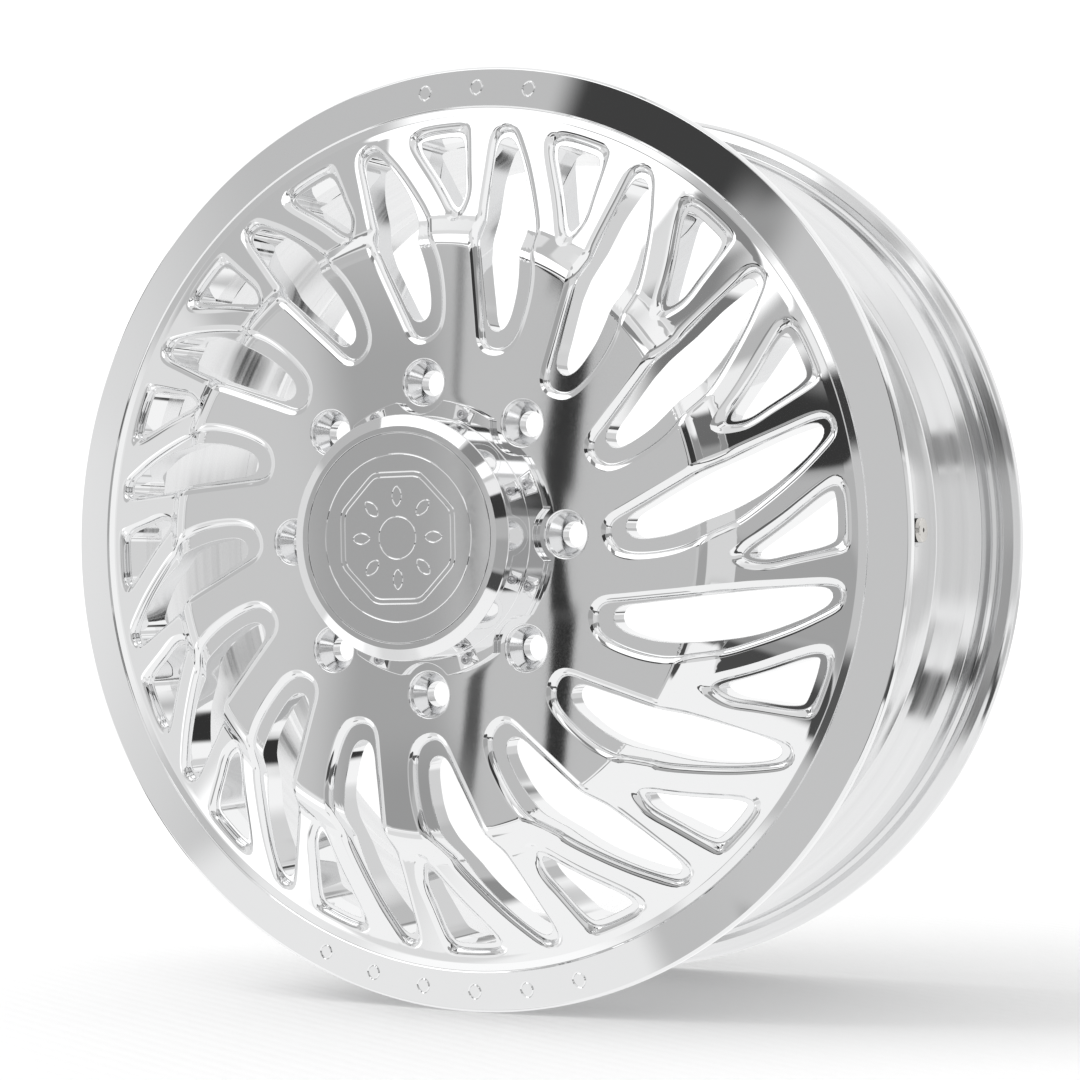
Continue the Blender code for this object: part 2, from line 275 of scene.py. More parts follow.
# ---------------------------------------------------------------- outlines in the plane


def outline(ctrl, n, soften=2.0, dense=1200):
    """Closed smooth curve through polar points (degrees, mm), resampled evenly to n."""
    p = np.array([(r * math.cos(math.radians(a)), r * math.sin(math.radians(a))) for a, r in ctrl])
    m = len(p)
    fine = []
    for i in range(m):
        p0, p1, p2, p3 = p[i - 1], p[i], p[(i + 1) % m], p[(i + 2) % m]
        d = np.linalg.norm(p2 - p1)
        t1 = (p2 - p0) * (d / (np.linalg.norm(p1 - p0) + d))
        t2 = (p3 - p1) * (d / (np.linalg.norm(p3 - p2) + d))
        for k in range(24):
            t = k / 24
            fine.append(p1 * (2 * t**3 - 3 * t**2 + 1) + t1 * (t**3 - 2 * t**2 + t)
                        + p2 * (-2 * t**3 + 3 * t**2) + t2 * (t**3 - t**2))
    q = even(np.array(fine), dense)
    if soften > 0:
        h = np.linalg.norm(np.roll(q, -1, 0) - q, axis=1).sum() / dense
        w = int(4 * soften / h)
        k = np.exp(-0.5 * (np.arange(-w, w + 1) * h / soften) ** 2)
        k /= k.sum()
        ext = np.concatenate([q[-w:], q, q[:w]])
        q1 = np.stack([np.convolve(ext[:, c], k, "valid") for c in (0, 1)], -1)
        # a second pass puts back most of the shrinking at the corners
        ext = np.concatenate([q1[-w:], q1, q1[:w]])
        q2 = np.stack([np.convolve(ext[:, c], k, "valid") for c in (0, 1)], -1)
        q = q1 + (q1 - q2) * 0.9
    q = even(q, n)
    area = 0.5 * np.sum(q[:, 0] * np.roll(q[:, 1], -1) - np.roll(q[:, 0], -1) * q[:, 1])
    return q if area > 0 else q[::-1].copy()


def even(q, n):
    d = np.linalg.norm(np.roll(q, -1, 0) - q, axis=1)
    s = np.concatenate([[0], np.cumsum(d)])
    e = np.concatenate([q, q[:1]])
    t = np.arange(n) * s[-1] / n
    return np.stack([np.interp(t, s, e[:, 0]), np.interp(t, s, e[:, 1])], -1)


def inward(q):
    """Unit normals pointing into the opening, for an anticlockwise loop."""
    t = np.roll(q, -1, 0) - np.roll(q, 1, 0)
    t /= np.linalg.norm(t, axis=1, keepdims=True)
    return np.stack([-t[:, 1], t[:, 0]], -1)


def reach(q, n, dense):
    """How far each inward normal runs before it meets the middle line of the opening."""
    d = dense[None] - q[:, None]
    dot = (d * n[:, None]).sum(-1)
    sq = (d * d).sum(-1)
    s = np.where((dot > 1e-3) & (sq > 0.25), sq / (2 * np.maximum(dot, 1e-9)), 1e9)
    s = s.min(1)
    k = np.array([1, 2, 3, 2, 1]) / 9
    e = np.concatenate([s[-2:], s, s[:2]])
    return np.minimum(s, np.convolve(e, k, "valid"))


def push(q, n, room, d):
    """The loop moved inwards by d, squeezed where the opening is too narrow for it."""
    x = d / room
    x = np.where(x < 0.72, x, 0.72 + 0.26 * (1 - np.exp(-(np.maximum(x, 0.72) - 0.72) / 0.26)))
    return q + n * (x * room)[:, None]


def ray_to(q, n, poly):
    """Distance from each point along its normal to the polygon."""
    a, b = poly, np.roll(poly, -1, 0)
    e = b - a
    out = np.full(len(q), np.nan)
    for i in range(len(q)):
        d = n[i]
        den = d[0] * e[:, 1] - d[1] * e[:, 0]
        w = a - q[i]
        with np.errstate(divide="ignore", invalid="ignore"):
            t = (w[:, 0] * e[:, 1] - w[:, 1] * e[:, 0]) / den
            u = (w[:, 0] * d[1] - w[:, 1] * d[0]) / den
        ok = (u >= 0) & (u <= 1) & (t > 0.2)
        if ok.any():
            out[i] = t[ok].min()
    bad = np.isnan(out)
    if bad.any():
        idx = np.arange(len(q))
        out[bad] = np.interp(idx[bad], idx[~bad], out[~bad], period=len(q))
    return out


def smooth_loop_values(v, times):
    for _ in range(times):
        v = 0.25 * np.roll(v, 1) + 0.5 * v + 0.25 * np.roll(v, -1)
    return v


def rot(xy, deg):
    c, s = math.cos(math.radians(deg)), math.sin(math.radians(deg))
    return np.stack([xy[:, 0] * c - xy[:, 1] * s, xy[:, 0] * s + xy[:, 1] * c], -1)


def inside(pts, poly):
    x, y = pts[:, 0][:, None], pts[:, 1][:, None]
    x0, y0 = poly[:, 0][None], poly[:, 1][None]
    x1, y1 = np.roll(poly[:, 0], -1)[None], np.roll(poly[:, 1], -1)[None]
    with np.errstate(divide="ignore", invalid="ignore"):
        hit = ((y0 > y) != (y1 > y)) & (x < (x1 - x0) * (y - y0) / (y1 - y0) + x0)
    return hit.sum(1) % 2 == 1


def far_from(pts, poly, dist):
    a, b = poly, np.roll(poly, -1, 0)
    ok = np.ones(len(pts), bool)
    e = b - a
    L = (e * e).sum(1)
    for s in range(0, len(pts), 400):
        w = pts[s:s + 400, None] - a[None]
        t = np.clip((w * e[None]).sum(-1) / L[None], 0, 1)
        d = np.linalg.norm(w - t[..., None] * e[None], axis=-1).min(1)
        ok[s:s + 400] = d > dist
    return ok


def triangulate(outer, holes, inner_pts, keep_edges=()):
    """Triangles inside outer and outside the holes, on exactly these points."""
    pts = [outer] + list(holes) + ([inner_pts] if len(inner_pts) else [])
    xy = np.concatenate(pts)
    edges, base = [], 0
    for loop in [outer] + list(holes):
        k = len(loop)
        edges += [(base + i, base + (i + 1) % k) for i in range(k)]
        base += k
    edges += list(keep_edges)
    res = geometry.delaunay_2d_cdt([Vector((float(x), float(y))) for x, y in xy], edges, [], 0, 1e-5, True)
    vs, fs, ids = res[0], res[2], res[3]
    own = np.array([[v.x, v.y] for v in vs])
    link = []
    for i, o in enumerate(ids):
        if o:
            own[i] = xy[o[0]]
            link.append(o[0])
        else:
            link.append(-1)
    tri = np.array([list(f) for f in fs])
    a, b, c = own[tri[:, 0]], own[tri[:, 1]], own[tri[:, 2]]
    mid = (a + b + c) / 3
    area = 0.5 * ((b[:, 0] - a[:, 0]) * (c[:, 1] - a[:, 1]) - (b[:, 1] - a[:, 1]) * (c[:, 0] - a[:, 0]))
    ok = inside(mid, outer) & (np.abs(area) > 1e-7)
    for h in holes:
        ok &= ~inside(mid, h)
    tri, area = tri[ok], area[ok]
    tri[area < 0] = tri[area < 0][:, ::-1]
    return own, tri


# ---------------------------------------------------------------- wheel shape
Z_HUB, Z_PAD, Z_CAP, Z_REAR, Z_LIP = 125.6, 102.6, 163.5, -163.5, 76.9
R_BORE, R_OUT, R_FLANGE = 77.0, 291.0, 324.5

# measured outlines of the slot and of the window at the polished face, and of the holes
SLOT_RIM = [(0.3, 130.4), (-2.2, 131.8), (-4.2, 135.0), (-5.6, 138.9), (-6.45, 145.0), (-6.65, 150.5),
            (-6.55, 157.0), (-6.1, 166.3), (-5.3, 177.5), (-4.25, 188.5), (-3.2, 196.6), (-2.2, 202.8),
            (-0.9, 210.7), (0.1, 217.0), (1.1, 223.0), (2.25, 229.5), (4.0, 239.0), (5.85, 249.5),
            (8.0, 262.0), (10.1, 273.9), (11.3, 280.6), (12.2, 284.3), (13.55, 286.0), (15.0, 284.3),
            (15.75, 279.9), (15.95, 273.5), (15.8, 265.8), (15.35, 253.4), (14.8, 239.3), (14.15, 225.2),
            (13.35, 212.9), (12.4, 199.9), (11.3, 186.6), (10.0, 172.3), (8.7, 160.3), (7.15, 148.0),
            (5.8, 138.9), (4.4, 133.9), (2.2, 130.8)]
WINDOW_RIM = [(-3.05, 283.6), (-3.55, 277.8), (-4.3, 265.8), (-5.3, 250.8), (-6.05, 241.4), (-6.45, 233.3),
              (-6.35, 225.2), (-5.9, 218.1), (-4.8, 214.0), (-3.4, 215.8), (-2.0, 220.8), (0.0, 231.2),
              (2.2, 243.2), (4.4, 255.5), (6.15, 267.0), (7.05, 275.8), (6.95, 281.8), (5.8, 285.5),
              (3.55, 286.5), (0.3, 286.5), (-2.1, 286.0)]
SLOT_HOLE = [(1.3, 146.6), (0.0, 148.0), (-0.95, 151.5), (-1.35, 157.0), (-1.2, 165.0), (-0.5, 178.0),
             (0.45, 188.5), (1.3, 197.0), (3.0, 211.5), (5.9, 235.0), (9.4, 258.0), (12.0, 272.6),
             (13.4, 275.9), (14.4, 272.5), (14.2, 256.0), (13.0, 233.0), (11.6, 213.0), (9.6, 192.0),
             (7.9, 176.0), (6.2, 163.0), (4.7, 153.0), (3.2, 147.8)]

FACE = Curve([(R_BORE, 125.6), (94.0, 125.6, 900.0), (203.1, 124.2, 15.0), (218.4, 108.6, 13.0),
              (288.6, 79.55, 26.0), (297.5, 78.95)])
LEDGE_DEPTH = 4.4
LEDGE = Curve([(R_BORE, 125.6), (94.0, 125.6, 900.0), (203.1, 124.2, 15.0), (218.4, 108.6, 13.0),
               (288.6, 79.55, 26.0), (297.5, 78.95)], LEDGE_DEPTH)
BACK = Curve([(R_BORE, Z_PAD), (126.0, Z_PAD, 1.5), (128.0, 104.6, 1.5), (190.0, 104.2, 18.0), (203.0, 99.0, 14.0),
              (222.0, 84.0, 22.0), (243.0, 73.5, 30.0), (270.0, 55.0, 12.0), (276.95, 40.1)])


def inset(q, n, room, d):
    """The loop moved inwards by d (a number per point). Where the opening turns too
    tightly for that, the points gather in the corner, which is then rounded."""
    d = np.broadcast_to(d, room.shape)
    ok = room > d * 1.03
    p = q + n * d[:, None]
    if ok.all():
        return p
    idx = np.arange(len(q))
    for c in (0, 1):
        p[:, c] = np.interp(idx, idx[ok], p[ok, c], period=len(q))
    near = (~ok).astype(float)
    for _ in range(3):
        near = np.maximum(near, np.maximum(np.roll(near, 1), np.roll(near, -1)))
    near = smooth_loop_values(near, 3)[:, None]
    for _ in range(14):
        p = p + near * (0.25 * np.roll(p, 1, 0) + 0.25 * np.roll(p, -1, 0) - 0.5 * p)
    return p


class Opening:
    """One kind of opening: the rim line on the face, a rounded edge down to a ledge
    parallel to the face, then a straight wall to the back."""

    def __init__(self, rim, n, hole, fillet=5.4, soften=2.0, edge=0.55, back=0.9):
        self.q = outline(rim, n, soften)
        dense = outline(rim, 600, soften)
        self.n = inward(self.q)
        self.room = reach(self.q, self.n, dense)
        self.fillet, self.edge, self.back = fillet, edge, back
        self.hole = hole(self)
        self.hn = inward(self.hole)

    def loop(self, d):
        return inset(self.q, self.n, self.room, d)

    def around(self, d):
        """The hole's outline moved back into the metal by d."""
        return self.hole - self.hn * d


def slot_hole(o):
    """The measured hole outline, matched to the rim line at its two ends."""
    h = outline(SLOT_HOLE, 900, 1.4)

    def along(p):
        d = np.linalg.norm(np.roll(p, -1, 0) - p, axis=1)
        return np.concatenate([[0], np.cumsum(d)])

    def ends(p):
        r = np.hypot(p[:, 0], p[:, 1])
        return int(r.argmin()), int(r.argmax())

    sq, sh = along(o.q), along(h)
    (qi, qo), (hi, ho) = ends(o.q), ends(h)
    Lq, Lh = sq[-1], sh[-1]
    q0, q1 = sq[qi], sq[qo]
    h0, h1 = sh[hi], sh[ho]
    s = (sq[:-1] - q0) % Lq
    sp = (q1 - q0) % Lq
    hp = (h1 - h0) % Lh
    t = np.where(s <= sp, s / sp * hp, hp + (s - sp) / (Lq - sp) * (Lh - hp))
    t = (t + h0) % Lh
    e = np.concatenate([h, h[:1]])
    return np.stack([np.interp(t, sh, e[:, 0]), np.interp(t, sh, e[:, 1])], -1)


def window_hole(o):
    r = np.hypot(o.q[:, 0], o.q[:, 1])
    w = np.interp(r, [212, 222, 240, 270, 280, 287], [8.2, 7.4, 7.2, 7.4, 8.8, 10.0])
    return o.loop(smooth_loop_values(w, 4))


slot = Opening(SLOT_RIM, 112, slot_hole)
window = Opening(WINDOW_RIM, 72, window_hole)


def boundary_angle(r):
    return np.interp(r, [77, 130, 146, 194.7, 214, 227, 253, 279, 300], [11.5, 11.5, 11.5, 15.5, 15.2, 15.2, 16.4, 17.5, 17.5])


LUG_PCD, LUG_FACE_R, LUG_BACK_R, LUG_SEG = 105.0, 16.5, 9.3, 64
SCREW_PCD, SCREW_FACE_R, SCREW_SEG = 88.0, 2.5, 16


def circle(r, seg, centre=(0, 0), phase=0.0):
    a = 2 * PI * (np.arange(seg) / seg) + phase
    return np.stack([centre[0] + r * np.cos(a), centre[1] + r * np.sin(a)], -1)


def wedge(m, curve, radii, r0, r1, loops, arc, up, screw):
    """One eighth of a surface of revolution with its openings, copied eight times."""
    k0 = int(round((boundary_angle(r0) - 1.0) / STEP))
    k1 = int(round((boundary_angle(r1) - 1.0) / STEP))
    nst = int(round(45 / STEP))
    rr = np.array([r for r in radii if r0 < r < r1])
    b = boundary_angle(rr)
    right = polar(b - PITCH, rr, 0)[:, :2]
    left = polar(b + PITCH, rr, 0)[:, :2]
    # the facets of the inner and outer circles sit at 1.0 + STEP * k, so a wedge starts
    # half a pitch early: 22.5 is a whole number of steps
    inner = polar(1.0 + STEP * (k0 - nst // 2 + np.arange(nst + 1)), r0, 0)[:, :2]
    outer = polar(1.0 + STEP * (k1 - nst // 2 + np.arange(nst + 1)), r1, 0)[:, :2]
    ring = np.concatenate([inner[::-1], right, outer, left[::-1]])
    holes = list(loops)
    pts, tag = [], []
    for j, r in enumerate([r0 + 1e-9] + list(rr)):
        if j == 0:
            continue
        a0, a1 = boundary_angle(r) - PITCH, boundary_angle(r) + PITCH
        cnt = max(4, int(round(math.radians(a1 - a0) * r / arc(r))))
        t = a0 + (a1 - a0) * (np.arange(cnt) + (0.5 if j % 2 else 1.0)) / cnt
        t = t[(t > a0 + 0.35 * (a1 - a0) / cnt) & (t < a1 - 0.35 * (a1 - a0) / cnt)]
        pts.append(polar(t, r, 0)[:, :2])
        tag += [(j, i, len(t)) for i in range(len(t))]
    pts, tag = np.concatenate(pts), np.array(tag)

    def keep(mask):
        nonlocal pts, tag
        pts, tag = pts[mask], tag[mask]

    keep(inside(pts, ring))
    for h in holes:
        keep(~inside(pts, h))
    keep(far_from(pts, ring, 0.6))
    for h in holes:
        keep(far_from(pts, h, 1.1))
    # neighbours on one circle are joined, so that the facets follow the circles
    base = len(ring) + sum(len(h) for h in holes)
    cand, ends = [], []
    n_in, n_r = len(inner), len(right)
    for i, (j, c, total) in enumerate(tag):
        if i + 1 < len(tag) and tag[i + 1][0] == j and tag[i + 1][1] == c + 1:
            cand.append((base + i, base + i + 1))
            ends.append((pts[i], pts[i + 1]))
        if c == 0:
            cand.append((n_in + j - 1, base + i))
            ends.append((right[j - 1], pts[i]))
        if c == total - 1:
            cand.append((n_in + n_r + len(outer) + (n_r - j), base + i))
            ends.append((left[j - 1], pts[i]))
    ends = np.array(ends)
    good = np.ones(len(cand), bool)
    for f in (0.12, 0.3, 0.5, 0.7, 0.88):
        mid = ends[:, 0] * (1 - f) + ends[:, 1] * f
        for h in holes:
            good &= ~inside(mid, h) & far_from(mid, h, 0.5)
    joins = [c for c, g in zip(cand, good) if g]
    own, tri = triangulate(ring, holes, pts, joins)
    v = curve.lift(own)
    n = curve.normal(own)
    if not up:
        n = -n
        tri = tri[:, ::-1]
    for k in range(8):
        vk = np.column_stack([rot(v[:, :2], 45 * k), v[:, 2]])
        nk = np.column_stack([rot(n[:, :2], 45 * k), n[:, 2]])
        m.add(vk, nk, tri)


def spread(a, b, step):
    k = max(1, int(round((b - a) / step)))
    return list(a + (b - a) * np.arange(k) / k)


wheel = Mesher()

# face
face_radii = (spread(77, 92, 7.5) + spread(92, 196, 7.0) + spread(196, 224, 1.35) + spread(224, 282, 6.0)
              + spread(282, 291, 1.3))
lug_face = circle(LUG_FACE_R, LUG_SEG, (LUG_PCD, 0))
scr = (SCREW_PCD * math.cos(math.radians(22.5)), SCREW_PCD * math.sin(math.radians(22.5)))
scr_face = circle(SCREW_FACE_R, SCREW_SEG, scr)
face_loops = [slot.q, rot(slot.q, PITCH), window.q, rot(window.q, PITCH), lug_face, scr_face]
wedge(wheel, FACE, face_radii, R_BORE, R_OUT, face_loops, lambda r: 6.0, True, True)

# back
R_BACK_OUT = 276.4
back_radii = (spread(77, 124, 9.0) + spread(125.2, 129.0, 0.42) + [129.0] + spread(134, 180, 9) + spread(184, 210, 2.6) + spread(210, 270, 3.4)
              + spread(270, 276.4, 1.3))


def back_loop(o):
    return o.around(o.back)


lug_back = circle(LUG_BACK_R, LUG_SEG, (LUG_PCD, 0))
back_loops = [back_loop(slot), rot(back_loop(slot), PITCH), back_loop(window), rot(back_loop(window), PITCH), lug_back]
wedge(wheel, BACK, back_radii, R_BORE, R_BACK_OUT, back_loops, lambda r: 7.0, False, False)


def loop_normals(rows, hint):
    """Numeric normals of a strip given as loops, turned to the hinted side."""
    P = np.array(rows)
    du = np.roll(P, -1, 1) - np.roll(P, 1, 1)
    dv = np.empty_like(P)
    dv[1:-1] = P[2:] - P[:-2]
    dv[0] = P[1] - P[0]
    dv[-1] = P[-1] - P[-2]
    n = np.cross(du, dv)
    n /= np.maximum(np.linalg.norm(n, axis=-1, keepdims=True), 1e-12)
    if (n * hint[None]).sum() < 0:
        n = -n
    return list(n)


def strips(o):
    """The opening's rounded rim, ledge, wall and back edge, as a patch of its own."""
    part = Mesher()
    q, n, room = o.q, o.n, o.room
    n3 = np.column_stack([n, np.zeros(len(n))])
    up = np.tile([0, 0, 1.0], (len(q), 1))
    rows = []
    K = 7
    f0, f1 = math.radians(9), math.radians(86)
    for k in range(K + 1):
        f = f0 + (f1 - f0) * k / K
        d = o.fillet * (math.sin(f) - math.sin(f0)) / (math.sin(f1) - math.sin(f0))
        h = (math.cos(f0) - math.cos(f)) / (math.cos(f0) - math.cos(f1))
        p = o.loop(d) if k else q
        r = np.hypot(p[:, 0], p[:, 1])
        rows.append(np.column_stack([p, (1 - h) * FACE(r) + h * LEDGE(r)]))
    part.grid(rows, loop_normals(rows, up + n3))
    # ledge
    inner = rows[-1][:, :2]
    rim = o.around(o.edge)
    rows, nn = [], []
    for f in (0.0, 0.25, 0.5, 0.75, 1.0):
        p = inner + (rim - inner) * f
        rows.append(LEDGE.lift(p))
        nn.append(LEDGE.normal(p))
    part.grid(rows, nn)
    # small edge radius, wall, back edge radius
    hole = o.hole
    h3 = np.column_stack([o.hn, np.zeros(len(o.hn))])
    rows, nn = [], []
    zl = LEDGE(np.hypot(rim[:, 0], rim[:, 1]))
    for k in range(4):
        f = math.radians(90 * k / 3)
        p = rim + (hole - rim) * math.sin(f)
        z = zl - o.edge * (1 - math.cos(f))
        rows.append(np.column_stack([p, z]))
        nn.append(LEDGE.normal(p) * math.cos(f) + h3 * math.sin(f))
    part.grid(rows, nn)
    top = rows[-1]
    bl = o.around(o.back)
    zb = BACK(np.hypot(bl[:, 0], bl[:, 1]))
    low = np.column_stack([hole, zb + o.back])
    part.grid([top, top * 0.5 + low * 0.5, low], [h3, h3, h3])
    rows, nn = [], []
    bn = -BACK.normal(bl)
    for k in range(4):
        f = math.radians(90 * k / 3)
        p = hole + (bl - hole) * (1 - math.cos(f))
        rows.append(np.column_stack([p, zb + o.back * (1 - math.sin(f))]))
        nn.append(h3 * math.cos(f) + bn * math.sin(f))
    rows[-1] = BACK.lift(bl)
    part.grid(rows, nn)
    return part


def copies(src, dst, count, start=0.0, mat=0):
    v = np.concatenate(src.v)
    n = np.concatenate(src.n)
    for k in range(count):
        a = start + 360.0 / count * k
        dst.add(np.column_stack([rot(v[:, :2], a), v[:, 2]]), np.column_stack([rot(n[:, :2], a), n[:, 2]]), src.f, mat)


copies(strips(slot), wheel, 16)
copies(strips(window), wheel, 16)

# lug holes: rounded edge, short cylinder, 60 degree seat, stud hole
lug = Mesher()
lug_runs = profile([(LUG_FACE_R, Z_HUB), (15.3, Z_HUB, 0.0), (15.3, Z_HUB - 3.4)])
z = Z_HUB


def lug_z(xy):
    return FACE(np.hypot(xy[:, 0], xy[:, 1]))


seat = profile([(LUG_FACE_R - 0.001, z), (15.25, z, 1.2), (15.25, z - 3.4, 0.25), (14.3, z - 3.4, 0.3), (8.6, z - 13.3, 0.8),
                (8.6, Z_PAD, 0.7), (LUG_BACK_R + 0.001, Z_PAD)], step=0.35)
revolve(lug, [(p, -nn) for p, nn in seat], np.degrees(2 * PI * np.arange(LUG_SEG) / LUG_SEG), (LUG_PCD, 0))
# the face falls away very slightly outside the cap, so the first ring is set on it
v = np.concatenate(lug.v)
on = np.abs(np.hypot(v[:, 0] - LUG_PCD, v[:, 1]) - LUG_FACE_R) < 0.01
on &= v[:, 2] > 120
v[on, :2] = LUG_FACE_R * (v[on, :2] - [LUG_PCD, 0]) / np.linalg.norm(v[on, :2] - [LUG_PCD, 0], axis=1)[:, None] + [LUG_PCD, 0]
v[on, 2] = lug_z(v[on, :2])
low = np.abs(np.hypot(v[:, 0] - LUG_PCD, v[:, 1]) - LUG_BACK_R) < 0.01
low &= v[:, 2] < 104
v[low, :2] = LUG_BACK_R * (v[low, :2] - [LUG_PCD, 0]) / np.linalg.norm(v[low, :2] - [LUG_PCD, 0], axis=1)[:, None] + [LUG_PCD, 0]
lug.v = [v]
lug.n = [np.concatenate(lug.n)]
lug.n[0][on] = FACE.normal(v[on, :2])
copies(lug, wheel, 8, mat=1)

# blind holes for the cap screws
hole = Mesher()
revolve(hole, [(p, -nn) for p, nn in profile([(SCREW_FACE_R, Z_HUB), (SCREW_FACE_R - 0.05, Z_HUB - 0.3), (2.2, Z_HUB - 12.0), (0.0, Z_HUB - 13.0)])],
        np.degrees(2 * PI * np.arange(SCREW_SEG) / SCREW_SEG), scr)
copies(hole, wheel, 8)

# the lip, the tyre side of the rim, and the inside of the barrel


def LIP(r):
    return 79.95 - (r - 297.3) * 0.11523


def bowed(z_a, z_b, count, radius_at, bend):
    """Profile points of a gently curved wall, with fillets that run into each other."""
    return [(radius_at(z), z, bend) for z in np.linspace(z_a, z_b, count)]


def well_out(z):
    return 284.0 + 2.2 * ((z + 40.0) / 44.0) ** 2


def well_in(z):
    return 276.95 - 2.0 * (1.0 - ((z + 20.0) / 60.0) ** 2)


flange = [(R_OUT, float(FACE(R_OUT))), (296.2, 79.15, 1.0), (297.3, LIP(297.3), 0.5), (303.0, LIP(303.0)), (317.0, LIP(317.0)), (322.9, LIP(322.9), 1.5), (324.5, 75.4, 1.2),
          (324.5, 69.0, 4.0), (322.0, 64.6, 5.0), (314.5, 61.6, 3.0), (309.5, 61.6, 2.5), (307.3, 58.6, 3.0),
          (305.3, 40.0, 3.0), (306.5, 37.0, 2.2), (305.8, 34.6, 3.0), (301.5, 30.0, 6.0), (289.6, 14.8, 9.0)] \
    + [(286.3, 5.0, 8.0)] + bowed(-3.0, -77.0, 9, well_out, 410.0) + [(286.5, -85.0, 7.0), (289.5, -90.5, 8.0), (301.0, -117.0, 7.0), (306.4, -123.4, 2.2), (305.3, -127.2, 3.0),
          (307.3, -145.6, 3.0), (309.5, -148.3, 2.5), (314.5, -148.3, 3.0), (322.0, -151.2, 5.0), (324.5, -156.0, 3.0),
          (324.5, -162.4, 0.8), (323.7, Z_REAR, 0.6), (311.0, Z_REAR, 1.5), (302.0, -159.5, 4.0), (297.8, -150.5, 6.0),
          (296.2, -121.0, 12.0), (280.2, -88.4, 14.0), (276.95, -79.5, 10.0)] \
    + bowed(-70.0, 30.0, 11, well_in, 850.0) + [(276.95, 40.1, 0.8)]
end = np.array([R_BACK_OUT, float(BACK(R_BACK_OUT))])
flange.append((float(end[0]), float(end[1])))
MARKS = [79.0, 86.5, 94.0, 248.5, 256.0, 263.5, 271.0, 278.5, 286.0]
left_out = [(a - 1.5, a + 1.5, 303.0, 317.0, 70.0, 90.0) for a in MARKS]
outline_runs = profile(flange, step=1.1, min_arc=3)
rows_at = []
for run in outline_runs:
    pos, nrm = densify(run, 16.0)
    rows_at += [(float(p[0]), float(p[1]), float(q[0]), float(q[1])) for p, q in zip(pos, nrm)]
rows_at = np.array(rows_at)
VALVE_ROWS = []
for lo, hi in ((283.0, 287.5), (274.0, 278.0)):
    sel = rows_at[(rows_at[:, 0] > lo) & (rows_at[:, 0] < hi) & (rows_at[:, 1] > -67.5) & (rows_at[:, 1] < -32.5)]
    sel = sel[np.argsort(sel[:, 1])]
    sel = sel[np.concatenate([[True], np.diff(sel[:, 1]) > 1e-6])]
    VALVE_ROWS.append(sel)
    left_out.append((-3.5, 4.0, lo, hi, sel[0, 1], sel[-1, 1]))
revolve(wheel, outline_runs, ANG, longest=16.0, flip=True, leave=left_out)


def groove_loops(shape, half):
    """A closed line of points as three loops: outer edge, bottom, inner edge."""
    n = inward(shape)
    room = reach(shape, n, shape)
    return shape - n * half, shape, inset(shape, n, room, half)


def grooved(m, boundary, shapes, z_of, n_of, half, depth, fill=()):
    """A face with V grooves along closed shapes. z_of and n_of give the face itself."""
    loops, bottoms, rings = [], set(), []
    for sh in shapes:
        o, c, i = groove_loops(sh, half)
        rings.append((o, c, i))
        loops += [o, c, i]
    pts = np.concatenate([boundary] + loops)
    edges, base = [], 0
    for loop in [boundary] + loops:
        k = len(loop)
        edges += [(base + i, base + (i + 1) % k) for i in range(k)]
        base += k
    extra = np.asarray(fill, float).reshape(-1, 2)
    if len(extra):
        extra = extra[inside(extra, boundary)]
        for loop in loops:
            extra = extra[far_from(extra, loop, 0.8)]
        extra = extra[far_from(extra, boundary, 0.8)]
        pts = np.concatenate([pts, extra])
    res = geometry.delaunay_2d_cdt([Vector((float(x), float(y))) for x, y in pts], edges, [], 0, 1e-5, True)
    own = np.array([[q.x, q.y] for q in res[0]])
    src = np.full(len(own), -1)
    for i, o in enumerate(res[3]):
        if o:
            own[i] = pts[o[0]]
            src[i] = o[0]
    deep = np.zeros(len(pts), bool)
    base = len(boundary)
    for o, c, i in rings:
        deep[base + len(o):base + len(o) + len(c)] = True
        base += len(o) + len(c) + len(i)
    is_deep = np.array([k >= 0 and deep[k] for k in src])
    z = z_of(own) - depth * is_deep
    P = np.column_stack([own, z])
    N = n_of(own)
    for f in res[2]:
        f = list(f)
        mid = own[f].mean(0)[None]
        if not inside(mid, boundary)[0]:
            continue
        q = P[f]
        g = np.cross(q[1] - q[0], q[2] - q[0])
        if np.linalg.norm(g) < 1e-9:
            continue
        g = g if g[2] > 0 else -g
        if is_deep[f].any():
            m.add(q, np.tile(g, (3, 1)), [(0, 1, 2)])
        else:
            m.add(q, N[f], [(0, 1, 2)])


def lip_normal(xy):
    r = np.hypot(xy[:, 0], xy[:, 1])
    k = 1 / math.sqrt(1 + 0.11523**2)
    return np.stack([0.11523 * xy[:, 0] / r * k, 0.11523 * xy[:, 1] / r * k, np.full(len(xy), k)], -1)


# plain engraved lozenges on the lip, where the photographed wheel carries words
t = np.arange(40) / 40 * 2 * PI
loz = np.stack([5.0 * np.sign(np.cos(t)) * np.abs(np.cos(t)) ** 1.15, 4.6 * np.sign(np.sin(t)) * np.abs(np.sin(t)) ** 1.15], -1)
for a in MARKS:
    ring = np.concatenate([polar(np.array([a - 1.5, a, a + 1.5]), 303.0, 0)[:, :2],
                           polar(np.array([a + 1.5, a, a - 1.5]), 317.0, 0)[:, :2]])
    shape = rot(loz + [310.0, 0.0], a)
    grooved(wheel, ring, [shape], lambda q: LIP(np.hypot(q[:, 0], q[:, 1])), lip_normal, 0.75, 0.5)


